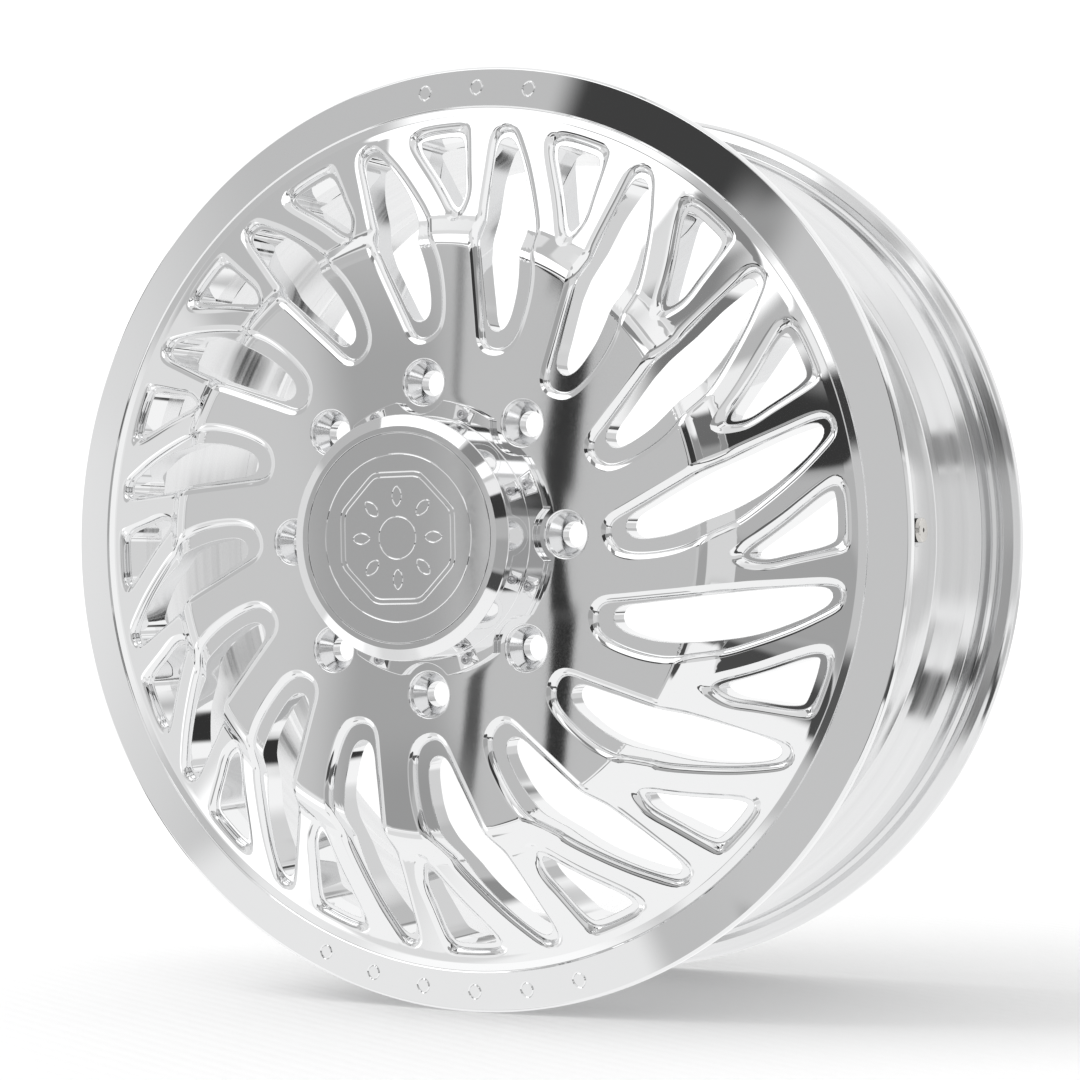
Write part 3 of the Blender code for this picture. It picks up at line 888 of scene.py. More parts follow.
def valve_patch(m, rows, flat, outward):
    """The drop well's wall round the valve hole, with its spot face."""
    ang = np.radians([-3.5, -2.0, -0.5, 1.0, 2.5, 4.0])
    z = rows[:, 1]
    lowest, highest = rows[0], rows[-1]
    edge = [(lowest[0] * math.sin(a), lowest[1]) for a in ang]
    edge += [(q[0] * math.sin(ang[-1]), q[1]) for q in rows[1:-1]]
    edge += [(highest[0] * math.sin(a), highest[1]) for a in ang[::-1]]
    edge += [(q[0] * math.sin(ang[0]), q[1]) for q in rows[1:-1][::-1]]
    hole2 = circle(11.5, 40, (0.0, -50.0))
    own, tri = triangulate(np.array(edge), [hole2], np.zeros((0, 2)))

    def lift(q):
        R = np.interp(q[:, 1], z, rows[:, 0])
        return np.stack([np.sqrt(R * R - q[:, 0] ** 2), q[:, 0], q[:, 1]], -1)

    P = lift(own)
    R = np.interp(own[:, 1], z, rows[:, 0])
    nr, nz = np.interp(own[:, 1], z, rows[:, 2]), np.interp(own[:, 1], z, rows[:, 3])
    m.add(P, np.stack([P[:, 0] / R * nr, P[:, 1] / R * nr, nz], -1), tri)
    top = lift(hole2)
    n2 = np.column_stack([np.zeros(len(hole2)), (np.array([0.0, -50.0]) - hole2) / 11.5])
    low = top.copy()
    low[:, 0] = flat
    m.grid([top, low], [n2, n2])
    small = circle(5.8, 40, (0.0, -50.0))
    rim = np.column_stack([np.full(40, flat), small])
    nx = np.tile([1.0 if outward else -1.0, 0, 0], (40, 1))
    m.grid([low, rim], [nx, nx])
    return rim


rim_a = valve_patch(wheel, VALVE_ROWS[0], 282.6, True)
rim_b = valve_patch(wheel, VALVE_ROWS[1], 278.2, False)
hn = np.column_stack([np.zeros(40), -(rim_a[:, 1]) / 5.8, -(rim_a[:, 2] + 50.0) / 5.8])
wheel.grid([rim_a, rim_b], [hn, hn])

# hub bore, a plain cylinder
revolve(wheel, profile([(R_BORE, Z_PAD), (R_BORE, Z_HUB)]), ANG, longest=12.0, flip=True)

# ---------------------------------------------------------------- materials


def new_material(name):
    m = bpy.data.materials.new(name)
    m.use_nodes = True
    return m, m.node_tree.nodes, m.node_tree.links, m.node_tree.nodes["Principled BSDF"]


def put(nodes, links, kind, **values):
    n = nodes.new(kind)
    for k, v in values.items():
        if hasattr(n, k):
            setattr(n, k, v)
        else:
            sock = n.inputs[k.replace("_", " ")]
            if hasattr(v, "links") or hasattr(v, "is_linked"):
                links.new(v, sock)
            else:
                sock.default_value = v
    return n


def ramp(nodes, links, value, lo, hi, out0, out1):
    n = nodes.new("ShaderNodeMapRange")
    for k, v in ((1, lo), (2, hi), (3, out0), (4, out1)):
        n.inputs[k].default_value = v
    links.new(value, n.inputs[0])
    return n.outputs[0]


def tone(nodes, links, value, dark, light):
    n = nodes.new("ShaderNodeMix")
    n.data_type = "RGBA"
    n.inputs[6].default_value = (*dark, 1)
    n.inputs[7].default_value = (*light, 1)
    links.new(value, n.inputs[0])
    return n.outputs[2]


def polished(name, dark, light, rough, smear=(40.0, 40.0, 40.0), grain=900.0, bump=0.02, dist=0.00002, ripple=0.0):
    """Buffed metal: a faint cloudy haze in tone and roughness, fine buffing marks in
    roughness and bump, and a broad ripple where the polishing wheel has passed."""
    m, nodes, links, b = new_material(name)
    b.inputs["Metallic"].default_value = 1.0
    tex = put(nodes, links, "ShaderNodeTexCoord")
    haze = put(nodes, links, "ShaderNodeTexNoise", Scale=6.0, Detail=3.0, Roughness=0.5)
    links.new(tex.outputs["Object"], haze.inputs["Vector"])
    mp = put(nodes, links, "ShaderNodeMapping", Scale=smear)
    links.new(tex.outputs["Object"], mp.inputs["Vector"])
    marks = put(nodes, links, "ShaderNodeTexNoise", Scale=grain / 40.0, Detail=4.0, Roughness=0.6)
    links.new(mp.outputs[0], marks.inputs["Vector"])
    links.new(tone(nodes, links, haze.outputs["Fac"], dark, light), b.inputs["Base Color"])
    r1 = ramp(nodes, links, marks.outputs["Fac"], 0.35, 0.75, 0.0, rough * 0.5)
    r2 = ramp(nodes, links, haze.outputs["Fac"], 0.3, 0.7, rough * 0.7, rough * 1.3)
    add = put(nodes, links, "ShaderNodeMath", operation="ADD")
    links.new(r1, add.inputs[0])
    links.new(r2, add.inputs[1])
    links.new(add.outputs[0], b.inputs["Roughness"])
    fine = put(nodes, links, "ShaderNodeBump", Strength=bump, Distance=dist)
    links.new(marks.outputs["Fac"], fine.inputs["Height"])
    last = fine
    if ripple:
        wide = put(nodes, links, "ShaderNodeTexNoise", Scale=14.0, Detail=1.0)
        links.new(tex.outputs["Object"], wide.inputs["Vector"])
        last = put(nodes, links, "ShaderNodeBump", Strength=ripple, Distance=0.0001)
        links.new(wide.outputs["Fac"], last.inputs["Height"])
        links.new(fine.outputs[0], last.inputs["Normal"])
    links.new(last.outputs[0], b.inputs["Normal"])
    return m


def moulded(name, dark, light):
    """Black moulded rubber: a fine grain and slightly paler worn patches."""
    m, nodes, links, b = new_material(name)
    b.inputs["Specular IOR Level"].default_value = 0.35
    tex = put(nodes, links, "ShaderNodeTexCoord")
    grain = put(nodes, links, "ShaderNodeTexNoise", Scale=2600.0, Detail=3.0)
    patch = put(nodes, links, "ShaderNodeTexNoise", Scale=300.0, Detail=2.0)
    links.new(tex.outputs["Object"], grain.inputs["Vector"])
    links.new(tex.outputs["Object"], patch.inputs["Vector"])
    links.new(tone(nodes, links, patch.outputs["Fac"], dark, light), b.inputs["Base Color"])
    links.new(ramp(nodes, links, grain.outputs["Fac"], 0.3, 0.7, 0.55, 0.75), b.inputs["Roughness"])
    bp = put(nodes, links, "ShaderNodeBump", Strength=0.25, Distance=0.00003)
    links.new(grain.outputs["Fac"], bp.inputs["Height"])
    links.new(bp.outputs[0], b.inputs["Normal"])
    return m


POLISHED = polished("polished_forged_aluminium", (0.865, 0.868, 0.872), (0.885, 0.888, 0.892), 0.022, ripple=0.0)
TURNED = polished("turned_lug_seat_aluminium", (0.86, 0.862, 0.868), (0.885, 0.888, 0.892), 0.10, (40.0, 6.0, 40.0), 2600.0, 0.10)
CAP_METAL = polished("polished_cap_aluminium", (0.855, 0.857, 0.862), (0.88, 0.882, 0.886), 0.035, (8.0, 60.0, 8.0), 1200.0, 0.03)
STEEL = polished("stainless_screw_steel", (0.60, 0.60, 0.61), (0.68, 0.68, 0.69), 0.17, (30.0, 30.0, 30.0), 3000.0, 0.10)
PLATED = polished("nickel_plated_brass", (0.70, 0.68, 0.64), (0.78, 0.76, 0.73), 0.14, (30.0, 30.0, 30.0), 3000.0, 0.08)
BRASS = polished("plain_brass", (0.72, 0.52, 0.24), (0.82, 0.62, 0.32), 0.20, (30.0, 30.0, 30.0), 3000.0, 0.10)
SPRING = polished("spring_steel_wire", (0.42, 0.41, 0.40), (0.52, 0.51, 0.50), 0.26, (30.0, 30.0, 30.0), 3000.0, 0.10)
RUBBER = moulded("black_rubber", (0.018, 0.018, 0.018), (0.035, 0.034, 0.033))



def ringed(name):
    """Lathe-turned and buffed rim metal: tone, roughness and a fine bump follow rings
    round the wheel's axis."""
    m, nodes, links, b = new_material(name)
    b.inputs["Metallic"].default_value = 1.0
    tex = put(nodes, links, "ShaderNodeTexCoord")
    split = put(nodes, links, "ShaderNodeSeparateXYZ")
    links.new(tex.outputs["Object"], split.inputs[0])
    flat = put(nodes, links, "ShaderNodeVectorMath", operation="MULTIPLY")
    links.new(tex.outputs["Object"], flat.inputs[0])
    flat.inputs[1].default_value = (1.0, 0.0, 1.0)
    radius = put(nodes, links, "ShaderNodeVectorMath", operation="LENGTH")
    links.new(flat.outputs[0], radius.inputs[0])
    drift = put(nodes, links, "ShaderNodeMath", operation="MULTIPLY")
    links.new(split.outputs[0], drift.inputs[0])
    drift.inputs[1].default_value = 0.012
    at = put(nodes, links, "ShaderNodeCombineXYZ")
    links.new(split.outputs[1], at.inputs[0])
    links.new(radius.outputs["Value"], at.inputs[1])
    links.new(drift.outputs[0], at.inputs[2])
    broad = put(nodes, links, "ShaderNodeTexNoise", Scale=95.0, Detail=3.0, Roughness=0.55)
    links.new(at.outputs[0], broad.inputs["Vector"])
    fine = put(nodes, links, "ShaderNodeTexNoise", Scale=1500.0, Detail=2.0, Roughness=0.5)
    links.new(at.outputs[0], fine.inputs["Vector"])
    links.new(tone(nodes, links, broad.outputs["Fac"], (0.70, 0.703, 0.708), (0.90, 0.902, 0.906)), b.inputs["Base Color"])
    links.new(ramp(nodes, links, broad.outputs["Fac"], 0.35, 0.65, 0.07, 0.17), b.inputs["Roughness"])
    bp = put(nodes, links, "ShaderNodeBump", Strength=0.10, Distance=0.00002)
    links.new(fine.outputs["Fac"], bp.inputs["Height"])
    links.new(bp.outputs[0], b.inputs["Normal"])
    return m


RINGED = ringed("turned_rim_aluminium")
wheel_ob = wheel.build("wheel_forging_detailed", [POLISHED, TURNED, RINGED])
spots = np.empty(3 * len(wheel_ob.data.polygons))
wheel_ob.data.polygons.foreach_get("center", spots)
spots = spots.reshape(-1, 3) * 1000.0
which = np.empty(len(spots), int)
wheel_ob.data.polygons.foreach_get("material_index", which)
which[(np.hypot(spots[:, 0], spots[:, 2]) > 274.2) & (-spots[:, 1] < 61.0)] = 2
wheel_ob.data.polygons.foreach_set("material_index", which.tolist())
wheel_ob.data.update()
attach(wheel_ob, "wheel")
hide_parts("wheel_forging")

# ---------------------------------------------------------------- centre cap
Z_CAP, Z0, PLATE_R = 163.5, 125.9, 69.5
FR = 0.5                                   # small edge radius on the flange


def shut(points):
    """A closed profile: the first point again at the end, started in mid edge."""
    a, b = points[-1], points[0]
    mid = ((a[0] + b[0]) / 2, (a[1] + b[1]) / 2)
    return [mid] + list(points) + [mid]


def flange_outline(seg=576):
    """The cap's flange seen from in front: a circle with eight round scallops."""
    fine = 2 * PI * np.arange(5760) / 5760
    phi = (fine + PI / 8) % (PI / 4) - PI / 8
    across = np.abs(105.0 * np.sin(phi))
    scallop = 105.0 * np.cos(phi) - np.sqrt(np.maximum(21.6**2 - across**2, 0.0))
    r = np.where(across < 21.6, np.minimum(93.6, scallop), 93.6)
    q = np.stack([r * np.cos(fine), r * np.sin(fine)], -1)
    for _ in range(60):
        q = (np.roll(q, 1, 0) + 2 * q + np.roll(q, -1, 0)) / 4
    q *= np.minimum(1.0, 93.6 / np.hypot(q[:, 0], q[:, 1]))[:, None]
    return even(q, seg)


cap = Mesher()
can = [(PLATE_R + 0.3, Z_CAP - 3.3), (PLATE_R + 0.3, Z_CAP, 0.35), (73.8, Z_CAP, 1.1), (81.5, Z_CAP - 3.4, 1.1),
       (81.5, Z0 + 5.0, 0.55), (82.3, Z0 + 5.0)]
CA = np.arange(0, 360, 1.25)
revolve(cap, profile(can, step=0.25, min_arc=3), CA, longest=8.0)
inner = [(82.0, Z0), (76.0, Z0, 0.5), (76.0, Z_CAP - 7.5, 0.6), (73.0, Z_CAP - 10.0, 1.0), (22.0, Z_CAP - 10.0, 0.4),
         (22.0, Z_CAP - 3.3, 0.3), (PLATE_R + 0.3, Z_CAP - 3.3)]
revolve(cap, profile(inner, step=0.3, min_arc=3), CA, longest=10.0)
rim = flange_outline()
rim_n = inward(rim)
cos_a, sin_a = np.cos, np.sin
up_rows, up_n = [], []
for k in range(6):                          # rounded top edge of the flange, then its side
    w = PI / 2 * k / 5
    q = rim + rim_n * FR * (1 - sin_a(w))
    up_rows.append(np.column_stack([q, np.full(len(q), Z0 + 5.0 - FR + FR * cos_a(w))]))
    up_n.append(np.column_stack([-rim_n * sin_a(w), np.full(len(q), cos_a(w))]))
side = np.column_stack([-rim_n, np.zeros(len(rim))])
up_rows.append(np.column_stack([rim, np.full(len(rim), Z0 + 0.3)]))
up_n.append(side)
cap.grid(up_rows, up_n)
low = rim + rim_n * 0.3
bevel = np.column_stack([-rim_n, np.full(len(rim), -1.0)])
cap.grid([up_rows[-1], np.column_stack([low, np.full(len(low), Z0)])], [bevel, bevel])
ring_top = polar(CA, 82.3, 0.0)[:, :2]
ring_low = polar(CA, 82.0, 0.0)[:, :2]
holes = [circle(2.75, 24, (88.0 * math.cos(math.radians(22.5 + 45 * k)), 88.0 * math.sin(math.radians(22.5 + 45 * k)))) for k in range(8)]
for z, edge, ring, sign in ((Z0 + 5.0, up_rows[0][:, :2], ring_top, 1.0), (Z0, low, ring_low, -1.0)):
    own, tri = triangulate(edge, [ring] + holes, np.zeros((0, 2)))
    cap.add(np.column_stack([own, np.full(len(own), z)]), np.tile([0, 0, sign], (len(own), 1)), tri)
for k in range(8):
    a = math.radians(22.5 + 45 * k)
    revolve(cap, profile([(2.35, Z0 + 0.4), (2.35, Z0 + 4.6), (2.75, Z0 + 5.0)][::-1]), np.arange(0, 360, 15.0),
            (88.0 * math.cos(a), 88.0 * math.sin(a)))
    revolve(cap, profile([(2.35, Z0 + 0.4), (2.75, Z0)]), np.arange(0, 360, 15.0), (88.0 * math.cos(a), 88.0 * math.sin(a)))
cap_ob = cap.build("cap_can_detailed", [CAP_METAL])
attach(cap_ob, "centre_cap")
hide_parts("cap_can")

# face plate with a plain ornament: a ring, a rounded octagon and eight lozenges
face = Mesher()
plate = [(68.9, Z_CAP), (PLATE_R, Z_CAP, 0.4), (PLATE_R, Z_CAP - 3.0, 0.25), (21.5, Z_CAP - 3.0, 0.3), (21.5, Z_CAP - 8.0, 0.5), (0.0, Z_CAP - 8.0)]
revolve(face, profile(plate, step=0.15, min_arc=3), CA, longest=10.0)
t = 2 * PI * np.arange(144) / 144
octagon = []
for r_ in (47.0, 43.6):
    rr = r_ * math.cos(PI / 8) / np.cos((t + PI / 8) % (PI / 4) - PI / 8)
    q = np.stack([rr * np.cos(t), rr * np.sin(t)], -1)
    for _ in range(5):
        q = (np.roll(q, 1, 0) + 2 * q + np.roll(q, -1, 0)) / 4
    octagon.append(q)
gems = []
gt = 2 * PI * np.arange(36) / 36
for k in range(8):
    g = np.stack([6.4 * np.sign(np.cos(gt)) * np.abs(np.cos(gt)) ** 1.2, 3.6 * np.sign(np.sin(gt)) * np.abs(np.sin(gt)) ** 1.2], -1)
    gems.append(rot(g + [27.5, 0.0], 45.0 * k))
shapes = [circle(55.5, 180)] + octagon + gems + [circle(14.0, 72)]
fill = [(x, y) for x in np.arange(-68, 69, 6.0) for y in np.arange(-68, 69, 6.0)]
grooved(face, polar(CA, 68.9, 0.0)[:, :2], shapes, lambda q: np.full(len(q), Z_CAP),
        lambda q: np.tile([0.0, 0.0, 1.0], (len(q), 1)), 0.5, 0.36, fill)
face_ob = face.build("cap_face_plate_detailed", [CAP_METAL])
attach(face_ob, "centre_cap")
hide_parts("cap_face_plate")


def ridged(r_out, r_in, z_a, z_b, pitch):
    """Points of a thread's outline from z_a to z_b, in steps of its pitch."""
    count = max(1, int(round(abs(z_b - z_a) / pitch)))
    h = (z_b - z_a) / count
    pts = []
    for k in range(count):
        z = z_a + h * k
        pts += [(r_out, z + 0.12 * h), (r_out, z + 0.28 * h), (r_in, z + 0.62 * h), (r_in, z + 0.78 * h)]
    return pts


# eight socket-head screws: knurled head, hexagon socket, thread
ZS = 131.2
for k in range(8):
    a0 = math.radians(22.5 + 45 * k)
    cx, cy = 88.0 * math.cos(a0), 88.0 * math.sin(a0)
    sc = Mesher()
    body = [(3.42, ZS + 0.45), (3.42, ZS, 0.25), (1.95, ZS), (1.95, ZS - 1.2)] + ridged(1.95, 1.62, ZS - 1.2, ZS - 11.2, 0.7) \
        + [(1.55, ZS - 11.4), (1.2, ZS - 12.0, 0.1), (0.0, ZS - 12.0)]
    revolve(sc, profile(body, step=0.2, min_arc=2), np.arange(0, 360, 15.0), (cx, cy))
    t = 2 * PI * np.arange(96) / 96
    knurl = 3.46 + 0.04 * np.cos(t * 32)
    rows, nrm = [], []

    def ringrow(r, z, nr, nz):
        rows.append(np.stack([cx + r * np.cos(t), cy + r * np.sin(t), np.full(96, z)], -1))
        nrm.append(np.stack([nr * np.cos(t), nr * np.sin(t), np.full(96, nz)], -1))

    tilt = 0.04 * 32 * np.sin(t * 32) / 3.46
    side_n = np.stack([np.cos(t) - tilt * np.sin(t) * -1, np.sin(t) - tilt * np.cos(t), np.zeros(96)], -1)
    ringrow(knurl, ZS + 0.45, 1, 0)
    ringrow(knurl, ZS + 3.3, 1, 0)
    sc.grid(rows, [side_n, side_n])
    rows, nrm = [], []
    ringrow(knurl, ZS + 3.3, 1, 0.2)
    ringrow(3.4, ZS + 3.5, 1, 0.35)
    for w in np.linspace(0, PI / 2, 5):
        ringrow(3.0 + 0.4 * math.cos(w), ZS + 3.6 + 0.4 * math.sin(w), math.cos(w), math.sin(w))
    ringrow(2.05 + 0 * t, ZS + 4.0, 0, 1)
    sc.grid(rows, nrm)
    hexr = 1.5 / np.cos((t + PI / 6) % (PI / 3) - PI / 6)
    hexx, hexy = hexr * np.cos(t), hexr * np.sin(t)
    top = rows[-1]
    mouth = np.stack([cx + hexx * 1.04, cy + hexy * 1.04, np.full(96, ZS + 3.72)], -1)
    cone = np.stack([-np.cos(t) * 0.5, -np.sin(t) * 0.5, np.full(96, 0.86)], -1)
    sc.grid([top, mouth], [cone, cone])
    bottom = np.stack([cx + hexx, cy + hexy, np.full(96, ZS + 1.8)], -1)
    flat_dir = (np.floor((t + PI / 6) / (PI / 3))) * PI / 3
    wall = np.stack([-np.cos(flat_dir), -np.sin(flat_dir), np.zeros(96)], -1)
    sc.grid([mouth, bottom], [wall, wall])
    tip = np.tile([cx, cy, ZS + 1.35], (96, 1))
    cup = np.stack([-np.cos(t) * 0.3, -np.sin(t) * 0.3, np.full(96, 0.95)], -1)
    sc.grid([bottom, tip], [cup, cup])
    sc_ob = sc.build(f"cap_screw_{k + 1}_detailed", [STEEL])
    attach(sc_ob, f"screw_{k + 1}")
    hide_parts(f"cap_screw_{k + 1}")

# ---------------------------------------------------------------- tyre valve
# local z is the distance from the wheel's axis; the valve lies along world +X at Y = 50 mm
VALVE = np.array([[0, 0, 1, 0], [1, 0, 0, 50.0], [0, 1, 0, 0], [0, 0, 0, 1.0]])


def turned_piece(name, points, mat, body, seg=48, step=0.12, shape=None):
    m = Mesher()
    if points:
        revolve(m, profile(points, step=step, min_arc=2), np.arange(0, 360, 360.0 / seg), longest=3.0)
    if shape:
        shape(m)
    ob = m.build(name + "_detailed", [mat], place=VALVE, wheel_space=False)
    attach(ob, body)
    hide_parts(name)
    return ob


turned_piece("valve_stem", shut([(1.6, 289.4, 0.3), (7.9, 289.4, 0.5), (8.4, 288.9, 0.3), (8.4, 286.0, 0.2), (4.1, 286.0, 0.1), (4.1, 277.0)]
                                + ridged(4.1, 3.72, 277.0, 257.0, 0.8)
                                + [(4.1, 256.9), (3.85, 256.0)] + ridged(3.85, 3.5, 255.6, 244.0, 0.794)
                                + [(3.6, 243.4), (3.4, 243.0, 0.1), (2.7, 243.0, 0.1), (2.7, 262.5), (1.6, 264.0)]), PLATED, "wheel")
turned_piece("valve_grommet", shut([(4.4, 285.7, 0.2), (8.2, 285.7, 0.5), (8.2, 282.9, 0.5), (5.5, 282.9, 0.2), (5.5, 278.6, 0.3), (4.4, 278.6, 0.2)]),
             RUBBER, "wheel")
turned_piece("valve_washer", shut([(4.4, 277.9, 0.15), (8.9, 277.9, 0.4), (8.9, 276.4, 0.4), (4.4, 276.4, 0.15)]), PLATED, "wheel")


def hex_nut(m):
    t = 2 * PI * np.arange(96) / 96
    r = 8.08 * math.cos(PI / 6) / np.cos((t + PI / 6) % (PI / 3) - PI / 6)
    flat = np.floor((t + PI / 6) / (PI / 3)) * PI / 3
    out = np.stack([np.cos(flat), np.sin(flat), np.zeros(96)], -1)
    rnd = np.stack([np.cos(t), np.sin(t), np.zeros(96)], -1)
    drop = np.maximum(r - 7.15, 0.0) * math.tan(math.radians(30))

    def row(rad, z):
        return np.stack([rad * np.cos(t), rad * np.sin(t), z + 0 * t], -1)

    top, low = 276.1, 270.1
    m.grid([row(r, top - drop), row(r, low + drop)], [out, out])
    for z, sign in ((top, 1.0), (low, -1.0)):
        slope = rnd * 0.5 + [0, 0, 0.866 * sign]
        ring = np.minimum(r, 7.15)
        m.grid([row(r, z - sign * drop), row(ring, z)], [slope, slope])
        up_n2 = np.tile([0, 0, sign], (96, 1))
        m.grid([row(ring, z), row(4.75 + 0 * t, z)], [up_n2, up_n2])
        cone = -rnd * 0.7 + [0, 0, 0.7 * sign]
        m.grid([row(4.75 + 0 * t, z), row(4.4 + 0 * t, z - sign * 0.35)], [cone, cone])
    m.grid([row(4.4 + 0 * t, top - 0.35), row(4.4 + 0 * t, low + 0.35)], [-rnd, -rnd])


turned_piece("valve_nut", None, PLATED, "wheel", shape=hex_nut)
turned_piece("valve_core_sleeve", shut([(0.8, 257.0, 0.05), (2.35, 257.0, 0.15)] + ridged(2.35, 2.15, 256.4, 252.0, 0.7)
                                       + [(2.0, 251.6), (2.0, 250.0), (2.35, 249.6), (2.35, 246.0, 0.15), (1.4, 246.0, 0.1), (1.4, 256.0), (0.8, 256.0, 0.05)]),
             BRASS, "wheel", 32)
turned_piece("valve_core_pin", [(0.0, 260.2), (1.2, 260.2, 0.15), (1.2, 259.4, 0.1), (0.45, 259.4), (0.45, 248.4), (1.15, 248.4, 0.08),
                                (1.15, 247.6, 0.08), (0.45, 247.6), (0.45, 243.6, 0.2), (0.0, 243.6)], BRASS, "core_pin", 24)
turned_piece("valve_core_seal", shut([(0.75, 259.1, 0.1), (2.1, 259.1, 0.3), (2.1, 257.4, 0.2), (0.75, 257.4, 0.1)]), RUBBER, "core_pin", 32)
turned_piece("valve_cap_seal", shut([(1.2, 242.7, 0.2), (3.8, 242.7, 0.3), (3.8, 241.3, 0.2), (1.2, 241.3, 0.2)]), RUBBER, "valve_cap_thread", 32)


def cap_shell(m):
    """Screw-on valve cap: a grip of rounded flutes, plain ends, and a plain bore."""
    seg = 120
    t = 2 * PI * np.arange(seg) / seg
    rnd = np.stack([np.cos(t), np.sin(t), np.zeros(seg)], -1)

    def row(rad, z):
        return np.stack([rad * np.cos(t), rad * np.sin(t), z + 0 * t], -1)

    depth = {0: 0.0, 1: 0.10, 2: 0.22}
    levels = [(252.4, 0), (252.0, 1), (251.5, 2), (243.8, 2), (243.3, 1), (242.9, 0)]
    rows, nrm = [], []
    for z, d in levels:
        amp = depth[d]
        r = 4.98 - amp * 0.5 * (1 - np.cos(t * 20))
        dr = -amp * 0.5 * 20 * np.sin(t * 20) / 4.98
        rows.append(row(r, z))
        nrm.append(rnd - dr[:, None] * np.stack([-np.sin(t), np.cos(t), np.zeros(seg)], -1))
    m.grid(rows, nrm)
    ang = np.arange(0, 360, 3.0)
    revolve(m, profile([(4.3, 255.0), (4.98, 255.0, 0.3), (4.98, 252.4)], step=0.12), ang, longest=3.0)
    revolve(m, profile([(4.98, 242.9), (4.98, 239.8, 0.9), (0.0, 239.8)], step=0.12), ang, longest=3.0)
    revolve(m, profile([(0.0, 241.0), (4.15, 241.0, 0.2), (4.15, 254.85), (4.3, 255.0)][::1], step=0.12), ang, longest=3.0, flip=True)


turned_piece("valve_cap", None, PLATED, "valve_cap", shape=cap_shell)


def coil(m, turns=5, per=20, round_=8, wire=0.11, rc=1.0, za=248.75, zb=255.65):
    n = turns * per + 1
    a = 2 * PI * np.arange(n) / per
    z = za + (zb - za) * np.arange(n) / (n - 1)
    rows, nrm = [], []
    pitch = (zb - za) / (2 * PI * turns)
    for ai, zi in zip(a, z):
        rad = np.array([math.cos(ai), math.sin(ai), 0.0])
        tan = np.array([-math.sin(ai) * rc, math.cos(ai) * rc, pitch])
        tan /= np.linalg.norm(tan)
        bi = np.cross(tan, rad)
        w = 2 * PI * np.arange(round_) / round_
        off = np.cos(w)[:, None] * rad + np.sin(w)[:, None] * bi
        rows.append(rad * rc + [0, 0, zi] + off * wire)
        nrm.append(off)
    m.grid(rows, nrm)
    for r, nn, side_ in ((rows[0], nrm[0], -1.0), (rows[-1], nrm[-1], 1.0)):
        c = r.mean(0)
        d = np.cross(nn[0], nn[2])
        m.add(np.vstack([r, c]), np.tile(d * side_, (len(r) + 1, 1)), [(i, (i + 1) % len(r), len(r)) for i in range(len(r))])


spring_ob = turned_piece("valve_core_spring", None, SPRING, "wheel", shape=coil)
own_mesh(spring_ob)

# ---------------------------------------------------------------- floor, world, camera
scene = bpy.context.scene
scene.view_settings.view_transform = "Standard"
scene.view_settings.look = "None"
world = bpy.data.worlds.new("studio")
scene.world = world
world.use_nodes = True
wt = world.node_tree
wt.nodes.clear()


def wmath(op, a, b=None, c=None):
    n = wt.nodes.new("ShaderNodeMath")
    n.operation = op
    for i, v in enumerate((a, b, c)):
        if v is None:
            continue
        if isinstance(v, (int, float)):
            n.inputs[i].default_value = v
        else:
            wt.links.new(v, n.inputs[i])
    return n.outputs[0]


def wstep(x, lo, hi, out0=0.0, out1=1.0):
    n = wt.nodes.new("ShaderNodeMapRange")
    n.interpolation_type = "SMOOTHSTEP"
    for i, v in ((1, lo), (2, hi), (3, out0), (4, out1)):
        n.inputs[i].default_value = v
    wt.links.new(x, n.inputs[0])
    return n.outputs[0]


tc = wt.nodes.new("ShaderNodeTexCoord")
sep = wt.nodes.new("ShaderNodeSeparateXYZ")
wt.links.new(tc.outputs["Generated"], sep.inputs[0])
AZ = wmath("MULTIPLY", wmath("ARCTAN2", sep.outputs[0], wmath("MULTIPLY", sep.outputs[1], -1.0)), 57.29578)
EL = wmath("MULTIPLY", wmath("ARCSINE", sep.outputs[2]), 57.29578)


def mix(a, b, mask):
    """a where mask is 0, b where it is 1 (b a number)."""
    return wmath("ADD", wmath("MULTIPLY", a, wmath("SUBTRACT", 1.0, mask)), wmath("MULTIPLY", mask, b))


def card(level, az0, el0, hw, hh, value, tilt=0.0, soft=(1.5, 1.5)):
    """A soft-edged studio card at an azimuth and elevation (degrees), half sizes hw, hh."""
    c, s_ = math.cos(math.radians(tilt)), math.sin(math.radians(tilt))
    da, de = wmath("SUBTRACT", AZ, az0), wmath("SUBTRACT", EL, el0)
    u = wmath("ABSOLUTE", wmath("ADD", wmath("MULTIPLY", da, c), wmath("MULTIPLY", de, s_)))
    v = wmath("ABSOLUTE", wmath("SUBTRACT", wmath("MULTIPLY", de, c), wmath("MULTIPLY", da, s_)))
    m = wmath("MULTIPLY", wstep(u, hw - soft[0], hw + soft[0], 1.0, 0.0), wstep(v, hh - soft[1], hh + soft[1], 1.0, 0.0))
    return mix(level, value, m)


place = wt.nodes.new("ShaderNodeCombineXYZ")
wt.links.new(AZ, place.inputs[0])
wt.links.new(EL, place.inputs[1])
place.inputs[2].default_value = 1.0


def flag(level, corners, value, soft=0.6):
    """A studio card with a convex outline: corners (azimuth, elevation), any order of turning."""
    c = np.asarray(corners, float)
    mid, mask = c.mean(0), None
    for a, b in zip(c, np.roll(c, -1, 0)):
        n = np.array([-(b - a)[1], (b - a)[0]]) / np.linalg.norm(b - a)
        if (mid - a) @ n < 0:
            n = -n
        dot = wt.nodes.new("ShaderNodeVectorMath")
        dot.operation = "DOT_PRODUCT"
        wt.links.new(place.outputs[0], dot.inputs[0])
        dot.inputs[1].default_value = (n[0], n[1], -float(a @ n))
        edge = wstep(dot.outputs["Value"], -soft, soft)
        mask = edge if mask is None else wmath("MULTIPLY", mask, edge)
    return mix(level, value, mask)


